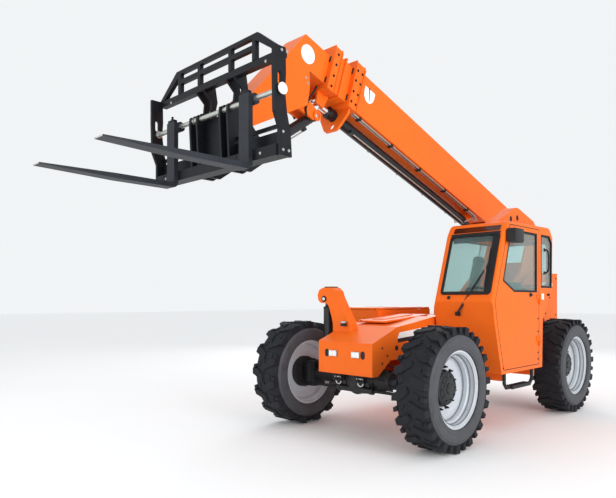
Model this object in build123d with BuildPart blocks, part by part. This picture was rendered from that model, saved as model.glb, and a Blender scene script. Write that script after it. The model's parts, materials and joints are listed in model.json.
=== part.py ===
"""Telescopic handler: chassis, all-wheel steering, cab, engine pod, three-stage boom and fork carriage.

Millimetres, +X forward, +Y to the machine's left, +Z up. The origin is on the ground under the middle
of the whole length. Boom pieces are drawn in boom coordinates: u runs along the boom from its rear
pivot, w stands square to it.
"""
import os
from math import atan2, cos, degrees, radians, sin, sqrt

from build123d import *

os.makedirs("parts", exist_ok=True)

# ------------------------------------------------------------------ driving sizes
SEAT = 0.3                 # running clearance of pins, panes and hinges
PIN_SLACK = 0.05           # hinge pins in their knuckles
GAP = 5.0                  # clearance between pieces that move past each other

X_MID = -1206.0            # middle of the wheelbase
WHEELBASE = 3080.0
TRACK = 2080.0
X_FRONT = X_MID + WHEELBASE / 2
X_REAR = X_MID - WHEELBASE / 2

TYRE_R = 635.0
TYRE_W = 370.0
TREAD_R = 600.0            # carcass below the lugs
SHOULDER_R = 552.0
SHOULDER_W = 45.0
SIDE_IN = 5.0              # carcass's side, inboard of the lugs' ends
LUG_ROOT = 548.0
LUGS = 15                  # on each half of the tread
FACETS = 2 * LUGS
RIM_R = 395.0
RIM_WALL = 22.0
RIM_BARREL_R = 345.0
RIM_LIP = 15.0             # the rim's edge stands in from the tyre's side
DISC_OUT = 45.0            # wheel disc's middle, inboard of the wheel's middle plane
DISC_T = 22.0
HUB_R = 190.0
HUB_NOSE_R = 168.0
HUB_OUT = 55.0             # hub face, outboard of the wheel's middle plane
HUB_IN = 98.0              # hub's inner end, inboard of it
SPINDLE_R = 70.0
KINGPIN_IN = 190.0         # kingpins stand in from the wheels' middle planes
KINGPIN_Y = TRACK / 2 - KINGPIN_IN
KINGPIN_R = 30.0
KNUCKLE_R = 88.0
KNUCKLE_H = 236.0
YOKE_T = 32.0
YOKE_HALF = 92.0
AXLE_TUBE_R = 85.0
DIFF_R = 175.0
ARCH_R = 790.0             # wheel arches, open for the steered wheels

FRAME_HALF = 390.0
RAIL_T = 60.0
FRAME_BELLY = 560.0
DECK_T = 14.0
NOSE_X = X_MID + 1880.0
NOSE_TOP = 1065.0
NOSE_BOTTOM = 710.0
NOSE_SHOULDER_X = X_MID + 1430.0
NOSE_SHOULDER_Z = 1232.0
NOSE_REAR_X = X_MID + 1180.0
DECK_FRONT_Z = 1262.0
DECK_Z = 1330.0
AXLE_RELIEF = 870.0        # underside of the frame over both axles
TAIL_X = X_MID - 2480.0
LAMP_Y = 165.0
LAMP_Z = 935.0
OVAL_Y = 262.0
TIE_Y = 160.0              # tie-down holes, front and rear
TIE_R = 25.0
REAR_TIE_Z = 700.0

RISER_FOOT = DECK_Z - 200.0
RISER_OUT = 330.0
RISER_T = 30.0
PIVOT_X = X_MID - 2200.0
PIVOT_Z = 2600.0
PIVOT_PIN_R = 50.0
PIVOT_BOSS_R = 95.0

BODY_HALF = 560.0
BODY_TOP = 1940.0
BODY_REAR_X = X_MID - 2540.0
BODY_FRONT_X = X_MID - 780.0
BODY_WAIST_Z = 1430.0
BODY_SKIRT_Z = 1080.0
BODY_PLATE_T = 60.0

BOOM_ANGLE = 17.8
OUTER_HALF = 200.0
OUTER_TOP = 105.0
OUTER_BOTTOM = -355.0
OUTER_END = 4380.0
BOOM_WALL = 8.0
STAGE_STEP = 22.0          # each stage is this much smaller all round
MID_START = 1300.0
MID_END = 4700.0
INNER_START = 1400.0
INNER_TOP = 20.0
INNER_BOTTOM = -300.0
INNER_HALF = 150.0
COLLAR_LEN = 150.0
COLLAR_T = 25.0

EXT_W = -440.0             # extend cylinder's axis
EXT_R = 60.0
EXT_ROD_R = 35.0
EXT_REAR = 1400.0
EXT_FRONT = 4440.0
EXT_EYE = 4620.0

LIFT_BASE_X = X_MID - 600.0
LIFT_BASE_Z = 900.0
LIFT_TOP_U = 850.0
LIFT_TOP_W = -200.0
LIFT_R = 80.0
LIFT_ROD_R = 42.0
LIFT_BARREL_LEN = 1330.0

TILT_U = 5580.0            # carriage's pivot
TILT_W = -1268.0
TILT_PIN_R = 40.0
HEAD_BOSS_R = 75.0
TILT_BASE_U = 4640.0
TILT_BASE_W = -630.0
TILT_ROD_DX = -200.0       # rod's eye on the carriage, from its pivot, level
TILT_ROD_DZ = -260.0
TILT_R = 55.0
TILT_ROD_R = 30.0
TILT_BARREL_LEN = 640.0
EYE_HALF = 50.0
LUG_T = 25.0
LIFT_TAIL = 450.0          # inner ends of the rods, from the cylinders' foot pins
TILT_TAIL = 385.0

CARRIAGE_HALF = 915.0
CARRIAGE_FACE = X_MID + 3690.0
CARRIAGE_TOP = 3500.0
CARRIAGE_BOTTOM = 2655.0
REST_TOP = 3718.0
REST_HALF = 600.0
BAR = 60.0
SHAFT_R = 22.0
SHAFT_X = CARRIAGE_FACE - 28.0
SHAFT_Z = 3165.0
FORK_Y = 546.0
FORK_WIDTH = 125.0
FORK_T = 45.0
FORK_LEN = 1220.0
FORK_EYE_R = 46.0
HEEL_R = 52.0
FORK_TOP = 3200.0
FORK_BOTTOM = 2585.0

CAB_IN = 420.0
CAB_OUT = 1170.0
CAB_WALL = 40.0
CAB_FLOOR = 690.0
CAB_ROOF = 2455.0
CAB_SILL = 1510.0
SHIELD_X = X_MID + 752.0   # windscreen's plane at the sill and below the roof
SHIELD_TOP_X = X_MID + 470.0
SHIELD_TOP_Z = CAB_ROOF - 140
ROOF_R = 95.0
GUARD_OUT = 960.0
GUARD_W = 160.0
CAB_EDGE_R = 32.0
DOOR_TOP = 2395.0
DOOR_BOTTOM = 740.0
DOOR_REAR_X = X_MID - 440.0
GLASS_T = 6.0
HINGE_X = DOOR_REAR_X - GAP / 2
HINGE_Y = CAB_OUT + 12.0
HINGE_R = 12.0
HINGE_PIN_R = 7.0
HINGE_LEN = 60.0

POD_OUT = -1170.0
POD_TOP = 1430.0
POD_SPLIT = 905.0
POD_REAR_X = X_MID - 390.0
POD_FRONT_X = X_MID + 800.0
HOOD_T = 25.0
HOOD_HINGE_Y = -FRAME_HALF - 14.0
HOOD_HINGE_Z = POD_TOP - 16.0
HOOD_EDGE_Y = HOOD_HINGE_Y - 26.0

# ------------------------------------------------------------------ frames and helpers
BOOM_DIR = (cos(radians(BOOM_ANGLE)), 0, sin(radians(BOOM_ANGLE)))
SIDE = Plane.XZ
BOOM = Plane(origin=(PIVOT_X, 0, PIVOT_Z), x_dir=BOOM_DIR, z_dir=(0, -1, 0))


def side_face(points, y, plane=SIDE):
    """Closed outline in a lengthwise plane that stands at this y; it is extruded towards -Y."""
    with BuildSketch(plane.offset(-y)) as face:
        with BuildLine():
            Polyline(*points, close=True)
        make_face()
    return face.sketch


def side_disc(x, z, radius, y, plane=SIDE):
    """Round face in a lengthwise plane, square to Y."""
    with BuildSketch(plane.offset(-y)) as face:
        with Locations((x, z)):
            Circle(radius)
    return face.sketch


def cross_face(points, x):
    """Closed outline in the plane square to X, of (y, z) points; it is extruded towards +X."""
    with BuildSketch(Plane.YZ.offset(x)) as face:
        with BuildLine():
            Polyline(*points, close=True)
        make_face()
    return face.sketch


def boom_section(u):
    """Plane square to the boom at station u; its own axes are Y and w."""
    return Plane(origin=BOOM.from_local_coords((u, 0, 0)), x_dir=(0, 1, 0), z_dir=BOOM_DIR)


def boom_ring(u, half, top, bottom, inner_half, inner_top, inner_bottom):
    """Rectangular ring round a boom section."""
    with BuildSketch(boom_section(u)) as ring:
        with Locations((0, (top + bottom) / 2)):
            Rectangle(2 * half, top - bottom)
        with Locations((0, (inner_top + inner_bottom) / 2)):
            Rectangle(2 * inner_half, inner_top - inner_bottom, mode=Mode.SUBTRACT)
    return ring.sketch


def block(x0, x1, z0, z1):
    """Corners of an upright rectangle in a lengthwise plane."""
    return [(x0, z0), (x1, z0), (x1, z1), (x0, z1)]


def mirrored(side):
    """Both ends of a span from an inner to an outer y, on the left (+1) or right (-1)."""
    return lambda inner, outer: (max(side * inner, side * outer), abs(outer - inner))


def save(name, part):
    part.label = name
    export_step(part, f"parts/{name}.step")


# ------------------------------------------------------------------ chassis frame
AXLE_Z = TYRE_R
rail_outline = [
    (NOSE_X - 100, NOSE_BOTTOM), (NOSE_X, NOSE_BOTTOM), (NOSE_X, NOSE_TOP),
    (NOSE_SHOULDER_X, NOSE_SHOULDER_Z), (NOSE_REAR_X, DECK_FRONT_Z),
    (X_MID + 700, DECK_Z), (X_MID - 900, DECK_Z), (TAIL_X, DECK_Z), (TAIL_X, FRAME_BELLY + 60),
    (X_REAR - 500, FRAME_BELLY + 60), (X_REAR - 320, AXLE_RELIEF), (X_REAR + 320, AXLE_RELIEF),
    (X_REAR + 560, FRAME_BELLY), (X_FRONT - 720, FRAME_BELLY), (X_FRONT - 340, AXLE_RELIEF),
    (X_FRONT + 20, AXLE_RELIEF),
]
nose_outline = [
    (NOSE_X - 100, NOSE_BOTTOM), (NOSE_X, NOSE_BOTTOM), (NOSE_X, NOSE_TOP),
    (NOSE_SHOULDER_X, NOSE_SHOULDER_Z), (NOSE_REAR_X, DECK_FRONT_Z),
    (NOSE_REAR_X, AXLE_RELIEF), (X_FRONT + 20, AXLE_RELIEF),
]
deck_outline = [
    (NOSE_REAR_X, DECK_FRONT_Z), (X_MID + 700, DECK_Z), (X_MID - 150, DECK_Z),
    (X_MID - 150, DECK_Z - DECK_T), (X_MID + 700, DECK_Z - DECK_T),
    (NOSE_REAR_X, DECK_FRONT_Z - DECK_T),
]
rail_in = FRAME_HALF - RAIL_T
with BuildPart() as frame:
    for y_high in (FRAME_HALF, -rail_in):
        extrude(side_face(rail_outline, y_high), amount=RAIL_T)
    extrude(side_face(nose_outline, rail_in), amount=2 * rail_in)
    extrude(side_face(deck_outline, rail_in), amount=2 * rail_in)
    belly = block(X_REAR + 700, X_FRONT - 740, FRAME_BELLY, FRAME_BELLY + DECK_T)
    extrude(side_face(belly, rail_in), amount=2 * rail_in)
    tail = block(TAIL_X, X_REAR - 560, FRAME_BELLY + 60, RISER_FOOT - SEAT)
    extrude(side_face(tail, rail_in), amount=2 * rail_in)
    # lugs and pin of the lift cylinder's foot
    foot = block(LIFT_BASE_X - 90, LIFT_BASE_X + 90, FRAME_BELLY + DECK_T, LIFT_BASE_Z + 80)
    lug_in = LIFT_R + GAP
    for y_high in (lug_in + LUG_T, -lug_in):
        extrude(side_face(foot, y_high), amount=LUG_T)
    pin_half = lug_in + LUG_T
    extrude(side_disc(LIFT_BASE_X, LIFT_BASE_Z, 40, pin_half), amount=2 * pin_half)
    # oval recesses beside the lamps and the round hole in each side of the nose
    with BuildSketch(Plane.YZ.offset(NOSE_X - 40)):
        with Locations((OVAL_Y, LAMP_Z), (-OVAL_Y, LAMP_Z)):
            SlotOverall(64, 38, rotation=90)
    extrude(amount=60, mode=Mode.SUBTRACT)
    for y_high in (FRAME_HALF + 1, -FRAME_HALF + 49):
        hole = side_disc(NOSE_SHOULDER_X + 19, 998, 30, y_high)
        extrude(hole, amount=50, mode=Mode.SUBTRACT)
    # tie-down lugs below the nose, each with a lengthwise hole
    for y_lug in (TIE_Y, -TIE_Y):
        with Locations((NOSE_X - 85, y_lug, NOSE_BOTTOM - 40)):
            Box(30, 110, 100)
        with Locations(Location((NOSE_X - 85, y_lug, NOSE_BOTTOM - 45), (0, 90, 0))):
            Cylinder(TIE_R, 40, mode=Mode.SUBTRACT)
    # outriggers under the cab floor
    for x_low in (X_MID - 440, X_MID + 340):
        arm = block(x_low, x_low + 90, CAB_FLOOR - 90, CAB_FLOOR)
        extrude(side_face(arm, CAB_OUT - 60), amount=CAB_OUT - 60 - FRAME_HALF)
save("frame", frame.part)

# ------------------------------------------------------------------ boom risers and pivot pin
riser_outline = [
    (X_MID - 950, RISER_FOOT), (X_MID - 950, DECK_Z + 210), (X_MID - 1330, DECK_Z + 350),
    (X_MID - 1740, DECK_Z + 600), (PIVOT_X + 150, PIVOT_Z - 20), (PIVOT_X + 70, PIVOT_Z + 100),
    (PIVOT_X - 60, PIVOT_Z + 110), (PIVOT_X - 130, PIVOT_Z + 20), (TAIL_X + 10, PIVOT_Z - 440),
    (TAIL_X + 10, RISER_FOOT),
]
riser_in = RISER_OUT - RISER_T
with BuildPart() as risers:
    for y_high in (RISER_OUT, -riser_in):
        extrude(side_face(riser_outline, y_high), amount=RISER_T)
    back = block(TAIL_X + 10, TAIL_X + 40, RISER_FOOT, PIVOT_Z - 460)
    extrude(side_face(back, riser_in), amount=2 * riser_in)
    hole = side_disc(PIVOT_X, PIVOT_Z, PIVOT_PIN_R + SEAT, RISER_OUT)
    extrude(hole, amount=2 * RISER_OUT, mode=Mode.SUBTRACT)
save("boom_risers", risers.part)

with BuildPart() as pivot_pin:
    extrude(side_disc(PIVOT_X, PIVOT_Z, PIVOT_PIN_R, RISER_OUT + 1), amount=2 * RISER_OUT + 2)
    for y_high in (RISER_OUT + 21, -RISER_OUT - 1):
        extrude(side_disc(PIVOT_X, PIVOT_Z, PIVOT_PIN_R + 22, y_high), amount=20)
save("boom_pivot_pin", pivot_pin.part)

# ------------------------------------------------------------------ rear body
body_outline = [
    (BODY_REAR_X, FRAME_BELLY), (BODY_REAR_X, BODY_TOP), (X_MID - 1960, BODY_TOP - 10),
    (X_MID - 1760, BODY_TOP - 90), (X_MID - 1380, BODY_WAIST_Z + 130), (X_MID - 1180, BODY_WAIST_Z + 40),
    (BODY_FRONT_X, BODY_WAIST_Z), (BODY_FRONT_X, BODY_SKIRT_Z), (X_REAR + 300, FRAME_BELLY),
]
plate_outline = block(BODY_REAR_X, BODY_REAR_X + BODY_PLATE_T, FRAME_BELLY, BODY_TOP)
with BuildPart() as rear_body:
    for y_high in (BODY_HALF, -FRAME_HALF):
        extrude(side_face(body_outline, y_high), amount=BODY_HALF - FRAME_HALF)
    arch = side_disc(X_REAR, AXLE_Z, ARCH_R, BODY_HALF)
    extrude(arch, amount=2 * BODY_HALF, mode=Mode.SUBTRACT)
    extrude(side_face(plate_outline, BODY_HALF), amount=2 * BODY_HALF)
    for y_hole in (TIE_Y, -TIE_Y):
        with Locations(Location((BODY_REAR_X + BODY_PLATE_T / 2, y_hole, REAR_TIE_Z), (0, 90, 0))):
            Cylinder(TIE_R, BODY_PLATE_T + 2, mode=Mode.SUBTRACT)
save("rear_body", rear_body.part)

# ------------------------------------------------------------------ axles
yoke_reach = KINGPIN_Y + 62
web_out = KINGPIN_Y - KNUCKLE_R - 10
arm_low = KNUCKLE_H / 2 + 3
for name, x_axle, saddle_half in (("front_axle", X_FRONT, 120), ("rear_axle", X_REAR, FRAME_HALF - 10)):
    with BuildPart() as axle:
        extrude(side_disc(x_axle, AXLE_Z, AXLE_TUBE_R, web_out), amount=2 * web_out)
        with Locations((x_axle, 0, AXLE_Z)):
            Sphere(DIFF_R)
        saddle = block(x_axle - 90, x_axle + 10, AXLE_Z, AXLE_RELIEF)
        extrude(side_face(saddle, saddle_half), amount=2 * saddle_half)
        for side in (1, -1):
            span = mirrored(side)
            web = block(x_axle - YOKE_HALF, x_axle + YOKE_HALF,
                        AXLE_Z - arm_low - YOKE_T, AXLE_Z + arm_low + YOKE_T)
            y_high, depth = span(web_out - 50, web_out)
            extrude(side_face(web, y_high), amount=depth)
            for z_low in (AXLE_Z + arm_low, AXLE_Z - arm_low - YOKE_T):
                with BuildSketch(Plane.XY.offset(z_low)) as arm:
                    with Locations((x_axle, side * (web_out + yoke_reach) / 2 - side * 20)):
                        Rectangle(2 * YOKE_HALF, yoke_reach - web_out + 40)
                    fillet(arm.vertices().group_by(Axis.Y)[-1 if side > 0 else 0], 45)
                    with Locations((x_axle, side * KINGPIN_Y)):
                        Circle(KINGPIN_R + SEAT, mode=Mode.SUBTRACT)
                extrude(amount=YOKE_T)
    save(name, axle.part)

# ------------------------------------------------------------------ knuckles and wheels
#            name   axle x    side
corners = (("fl", X_FRONT, 1), ("fr", X_FRONT, -1), ("rl", X_REAR, 1), ("rr", X_REAR, -1))
wheel_y = TRACK / 2
half_w = TYRE_W / 2
lip = half_w - RIM_LIP
rim_section = [    # radius, offset from the middle plane; the outer side is positive
    (RIM_R - SEAT, -lip), (RIM_R - SEAT, lip), (RIM_R - 20, lip), (RIM_R - 27, lip - 14),
    (RIM_R - 40, lip - 26), (RIM_R - 44, lip - 74), (RIM_R - 66, lip - 92), (RIM_R - 70, lip - 140),
    (RIM_R - 92, lip - 165), (RIM_R - 150, DISC_T - DISC_OUT + 8), (HUB_R + SEAT, DISC_T - DISC_OUT),
    (HUB_R + SEAT, -DISC_OUT), (RIM_R - 140, -DISC_OUT), (RIM_R - 60, -DISC_OUT - 20),
    (RIM_R - 50, -lip + 50), (RIM_R - 24, -lip + 24), (RIM_R - 20, -lip),
]
hub_section = [
    (SPINDLE_R + SEAT, -HUB_IN), (HUB_R, -HUB_IN), (HUB_R, DISC_T - DISC_OUT + 16), (HUB_NOSE_R, 12),
    (HUB_NOSE_R, HUB_OUT - 12), (HUB_NOSE_R - 22, HUB_OUT), (60, HUB_OUT), (52, HUB_OUT + 14), (0, HUB_OUT + 14),
    (0, -20), (SPINDLE_R + SEAT, -20),
]
lug_outline = [    # offset from the middle plane, run round the tread from the lug's root line
    (8, -74), (8, -2), (102, 66), (half_w, 74), (half_w, 4),
]
lug_top = sqrt(TYRE_R ** 2 - 74 ** 2)


def wheel_piece(section, x_axle, side):
    """Turned piece about a wheel's axle, its section given as (radius, outboard offset)."""
    with BuildPart() as piece:
        with BuildSketch(Plane.YZ.offset(x_axle)) as face:
            with BuildLine():
                Polyline(*[(side * (wheel_y + out), AXLE_Z + r) for r, out in section], close=True)
            make_face()
        revolve(axis=Axis((x_axle, 0, AXLE_Z), (0, 1, 0)))
    return piece.part


def carcass_slice(out, apothem, amount, taper=0.0):
    """Many-sided slice of the tyre's carcass, about the Y axis."""
    with BuildSketch(Plane.XZ.offset(-out)) as face:
        RegularPolygon(apothem, FACETS, major_radius=False, rotation=90)
    extrude(face.sketch, amount=amount, taper=taper)


with BuildPart() as tyre:
    flank = half_w - SIDE_IN
    flat = flank - SHOULDER_W
    shoulder_taper = degrees(atan2(TREAD_R - SHOULDER_R, SHOULDER_W))
    carcass_slice(flat, TREAD_R, 2 * flat)
    carcass_slice(flat, TREAD_R, -SHOULDER_W, shoulder_taper)
    carcass_slice(-flat, TREAD_R, SHOULDER_W, shoulder_taper)
    for hand in (1, -1):
        for k in range(LUGS):
            turn = (k + (0.25 if hand > 0 else 0.75)) * 360.0 / LUGS
            with BuildSketch(Plane.XY.rotated((0, turn, 0)).offset(LUG_ROOT)):
                with BuildLine():
                    Polyline(*[(run, hand * out) for out, run in lug_outline], close=True)
                make_face()
            extrude(amount=lug_top - LUG_ROOT)
    with BuildSketch(Plane.XZ.offset(-half_w)):
        RegularPolygon(RIM_R, FACETS, major_radius=False, rotation=90)
    extrude(amount=2 * half_w, mode=Mode.SUBTRACT)

for corner, x_axle, side in corners:
    place = Location((x_axle, side * wheel_y, AXLE_Z), (0, 0, 0 if side > 0 else 180))
    save(f"tyre_{corner}", tyre.part.moved(place))
    save(f"rim_{corner}", wheel_piece(rim_section, x_axle, side))
    save(f"hub_{corner}", wheel_piece(hub_section, x_axle, side))
    with BuildPart() as knuckle:
        with Locations((x_axle, side * KINGPIN_Y, AXLE_Z)):
            Cylinder(KNUCKLE_R, KNUCKLE_H)
            Cylinder(KINGPIN_R, KNUCKLE_H + 2 * YOKE_T)
        y_high, depth = mirrored(side)(KINGPIN_Y, wheel_y - 21)
        extrude(side_disc(x_axle, AXLE_Z, SPINDLE_R, y_high), amount=depth)
    save(f"knuckle_{corner}", knuckle.part)

# ------------------------------------------------------------------ frame levelling horn and cylinder
HORN_X = X_MID + 1480.0
HORN_T = 140.0
HORN_PIN_Y = -550.0
HORN_PIN_Z = 1542.0
HORN_SLOT = 80.0
LEVEL_EYE = 70.0
LEVEL_PIN_R = 20.0
LEVEL_R = 56.0
LEVEL_NECK_R = 34.0
LEVEL_TOP_Z = HORN_PIN_Z - 100
LEVEL_ROD_R = 25.0
LEVEL_SPLIT_Z = 960.0
horn_outline = [
    (-110, NOSE_TOP), (-150, 1243), (-344, 1567), (-366, 1630), (-425, 1677), (-570, 1678),
    (-636, 1650), (-662, 1590), (-648, 1525), (-605, 1492), (-520, 1496), (-480, 1462), (-430, 1330),
    (-402, 1218), (-FRAME_HALF, 1110), (-FRAME_HALF, NOSE_TOP),
]
horn_mid = HORN_X + HORN_T / 2
with BuildPart() as horn:
    with BuildSketch(Plane.YZ.offset(HORN_X)) as horn_face:
        with BuildLine():
            Polyline(*horn_outline, close=True)
        make_face()
        soft = [v for v in horn_face.vertices() if v.Y > 1280 and v.X < -340]
        fillet(soft, 24)
    extrude(amount=HORN_T)
    slot = [(-700, 1400), (-700, 1605), (-490, 1605), (-490, 1400)]
    extrude(cross_face(slot, horn_mid - HORN_SLOT / 2), amount=HORN_SLOT, mode=Mode.SUBTRACT)
    extrude(side_face(nose_outline, 0), amount=FRAME_HALF, mode=Mode.SUBTRACT)
    with BuildSketch(Plane.YZ.offset(HORN_X - 8)):
        with Locations((HORN_PIN_Y, HORN_PIN_Z)):
            Circle(LEVEL_PIN_R)
    extrude(amount=HORN_T + 16)
save("level_horn", horn.part)

with BuildPart() as level_barrel:
    with Locations((horn_mid, HORN_PIN_Y, (LEVEL_TOP_Z + LEVEL_SPLIT_Z) / 2)):
        Cylinder(LEVEL_R, LEVEL_TOP_Z - LEVEL_SPLIT_Z)
    with Locations((horn_mid, HORN_PIN_Y, (LEVEL_TOP_Z + HORN_PIN_Z) / 2)):
        Cylinder(LEVEL_NECK_R, HORN_PIN_Z - LEVEL_TOP_Z)
    with BuildSketch(Plane.YZ.offset(horn_mid - LEVEL_EYE / 2)):
        with Locations((HORN_PIN_Y, HORN_PIN_Z)):
            Circle(LEVEL_NECK_R + 6)
    extrude(amount=LEVEL_EYE)
    with BuildSketch(Plane.YZ.offset(horn_mid - LEVEL_EYE / 2)):
        with Locations((HORN_PIN_Y, HORN_PIN_Z)):
            Circle(LEVEL_PIN_R + SEAT)
    extrude(amount=LEVEL_EYE, mode=Mode.SUBTRACT)
save("level_barrel", level_barrel.part)

with BuildPart() as level_rod:
    with Locations((horn_mid, HORN_PIN_Y, (LEVEL_SPLIT_Z - SEAT + AXLE_Z + 60) / 2)):
        Cylinder(LEVEL_ROD_R, LEVEL_SPLIT_Z - SEAT - AXLE_Z - 60)
    with Locations((horn_mid, HORN_PIN_Y, AXLE_Z + 115)):
        Box(90, 80, 130)
    axle_tube = side_disc(X_FRONT, AXLE_Z, AXLE_TUBE_R + SEAT, HORN_PIN_Y + 60)
    extrude(axle_tube, amount=120, mode=Mode.SUBTRACT)
save("level_rod", level_rod.part)

# ------------------------------------------------------------------ boom, outer stage
tail_depth = 270.0
outer_outline = [
    (-110, -130), (-110, OUTER_TOP - 5), (900, OUTER_TOP), (OUTER_END, OUTER_TOP),
    (OUTER_END, OUTER_BOTTOM), (1240, OUTER_BOTTOM), (700, -tail_depth),
]
outer_in = OUTER_HALF - BOOM_WALL
mid_half = OUTER_HALF - STAGE_STEP
mid_top = OUTER_TOP - STAGE_STEP
mid_bottom = OUTER_BOTTOM + STAGE_STEP
LUG_BACK = 80.0
LUG_U = OUTER_END - LUG_BACK
LUG_PLATE_T = 30.0
LUG_HOLE_R = 35.0
LUG_HOLE_W = -555.0
with BuildPart() as boom_outer:
    extrude(side_face(outer_outline, OUTER_HALF, BOOM), amount=2 * OUTER_HALF)
    bore = block(600, OUTER_END + 10, OUTER_BOTTOM + BOOM_WALL, OUTER_TOP - BOOM_WALL)
    extrude(side_face(bore, outer_in, BOOM), amount=2 * outer_in, mode=Mode.SUBTRACT)
    mouth = block(-200, 1240, OUTER_BOTTOM - 50, OUTER_TOP - BOOM_WALL - 6)
    extrude(side_face(mouth, outer_in, BOOM), amount=2 * outer_in, mode=Mode.SUBTRACT)
    # pivot tube across the tail
    tube_half = riser_in - GAP
    extrude(side_disc(0, 0, PIVOT_BOSS_R, tube_half, BOOM), amount=2 * tube_half)
    pin_bore = side_disc(0, 0, PIVOT_PIN_R + SEAT, tube_half, BOOM)
    extrude(pin_bore, amount=2 * tube_half, mode=Mode.SUBTRACT)
    # collar with its wear pads
    collar = boom_ring(OUTER_END - COLLAR_LEN, OUTER_HALF + COLLAR_T, OUTER_TOP + COLLAR_T + 20,
                       OUTER_BOTTOM - COLLAR_T, mid_half + SEAT, mid_top + SEAT, mid_bottom - SEAT)
    extrude(collar, amount=COLLAR_LEN)
    # transverse lug plate that carries the extend cylinder and the lifting eye
    with BuildSketch(boom_section(LUG_U)) as lug:
        with BuildLine():
            Polyline((-OUTER_HALF, OUTER_BOTTOM), (-OUTER_HALF, -440), (-90, -610), (90, -610),
                     (OUTER_HALF, -440), (OUTER_HALF, OUTER_BOTTOM), close=True)
        make_face()
        fillet(lug.vertices().group_by(Axis.Y)[0], 60)
        with Locations((0, EXT_W)):
            Circle(EXT_R + SEAT, mode=Mode.SUBTRACT)
        with Locations((0, LUG_HOLE_W)):
            Circle(LUG_HOLE_R, mode=Mode.SUBTRACT)
    extrude(amount=LUG_PLATE_T)
    # saddle at the extend cylinder's rear end
    saddle = block(EXT_REAR, EXT_REAR + 120, EXT_W, OUTER_BOTTOM)
    extrude(side_face(saddle, 70, BOOM), amount=140)
    with BuildSketch(boom_section(EXT_REAR)):
        with Locations((0, EXT_W)):
            Circle(EXT_R + SEAT)
    extrude(amount=120, mode=Mode.SUBTRACT)
save("boom_outer", boom_outer.part)

with BuildPart() as extend_barrel:
    with BuildSketch(boom_section(EXT_REAR)):
        with Locations((0, EXT_W)):
            Circle(EXT_R)
    extrude(amount=EXT_FRONT - EXT_REAR)
    with BuildSketch(boom_section(EXT_REAR + 60)):
        with Locations((0, EXT_W)):
            Circle(EXT_ROD_R + SEAT)
    extrude(amount=EXT_FRONT - EXT_REAR, mode=Mode.SUBTRACT)
save("extend_barrel", extend_barrel.part)

# ------------------------------------------------------------------ boom, middle stage
mid_in = mid_half - BOOM_WALL
inner_gap = SEAT
RIB_U = 4490.0
with BuildPart() as boom_mid:
    tube = block(MID_START, MID_END, mid_bottom, mid_top)
    extrude(side_face(tube, mid_half, BOOM), amount=2 * mid_half)
    bore = block(MID_START - 10, MID_END + 10, mid_bottom + BOOM_WALL, mid_top - BOOM_WALL)
    extrude(side_face(bore, mid_in, BOOM), amount=2 * mid_in, mode=Mode.SUBTRACT)
    collar = boom_ring(MID_END - COLLAR_LEN + 30, mid_half + COLLAR_T, mid_top + COLLAR_T + 20,
                       mid_bottom - COLLAR_T, INNER_HALF + inner_gap, INNER_TOP + inner_gap,
                       INNER_BOTTOM - inner_gap)
    extrude(collar, amount=COLLAR_LEN - 30)
    rib = boom_ring(RIB_U, mid_half + 18, mid_top + 30, mid_bottom - 18, mid_in, mid_top - 4, mid_bottom + 4)
    extrude(rib, amount=22)
    # lug that takes the extend rod's eye
    for y_high in (EYE_HALF + LUG_T, -EYE_HALF):
        lug_face = [(EXT_EYE - 90, mid_bottom - 10), (EXT_EYE + 75, mid_bottom - 10),
                    (EXT_EYE + 55, EXT_W - 50), (EXT_EYE - 55, EXT_W - 50)]
        extrude(side_face(lug_face, y_high, BOOM), amount=LUG_T)
    ext_pin = side_disc(EXT_EYE, EXT_W, 25, EYE_HALF + LUG_T, BOOM)
    extrude(ext_pin, amount=2 * (EYE_HALF + LUG_T))
save("boom_mid", boom_mid.part)

with BuildPart() as extend_rod:
    with BuildSketch(boom_section(EXT_REAR + 300)):
        with Locations((0, EXT_W)):
            Circle(EXT_ROD_R)
    extrude(amount=EXT_EYE - EXT_REAR - 300)
    extrude(side_disc(EXT_EYE, EXT_W, 52, EYE_HALF - 1, BOOM), amount=2 * EYE_HALF - 2)
    eye_bore = side_disc(EXT_EYE, EXT_W, 25 + SEAT, EYE_HALF, BOOM)
    extrude(eye_bore, amount=2 * EYE_HALF, mode=Mode.SUBTRACT)
save("extend_rod", extend_rod.part)

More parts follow.
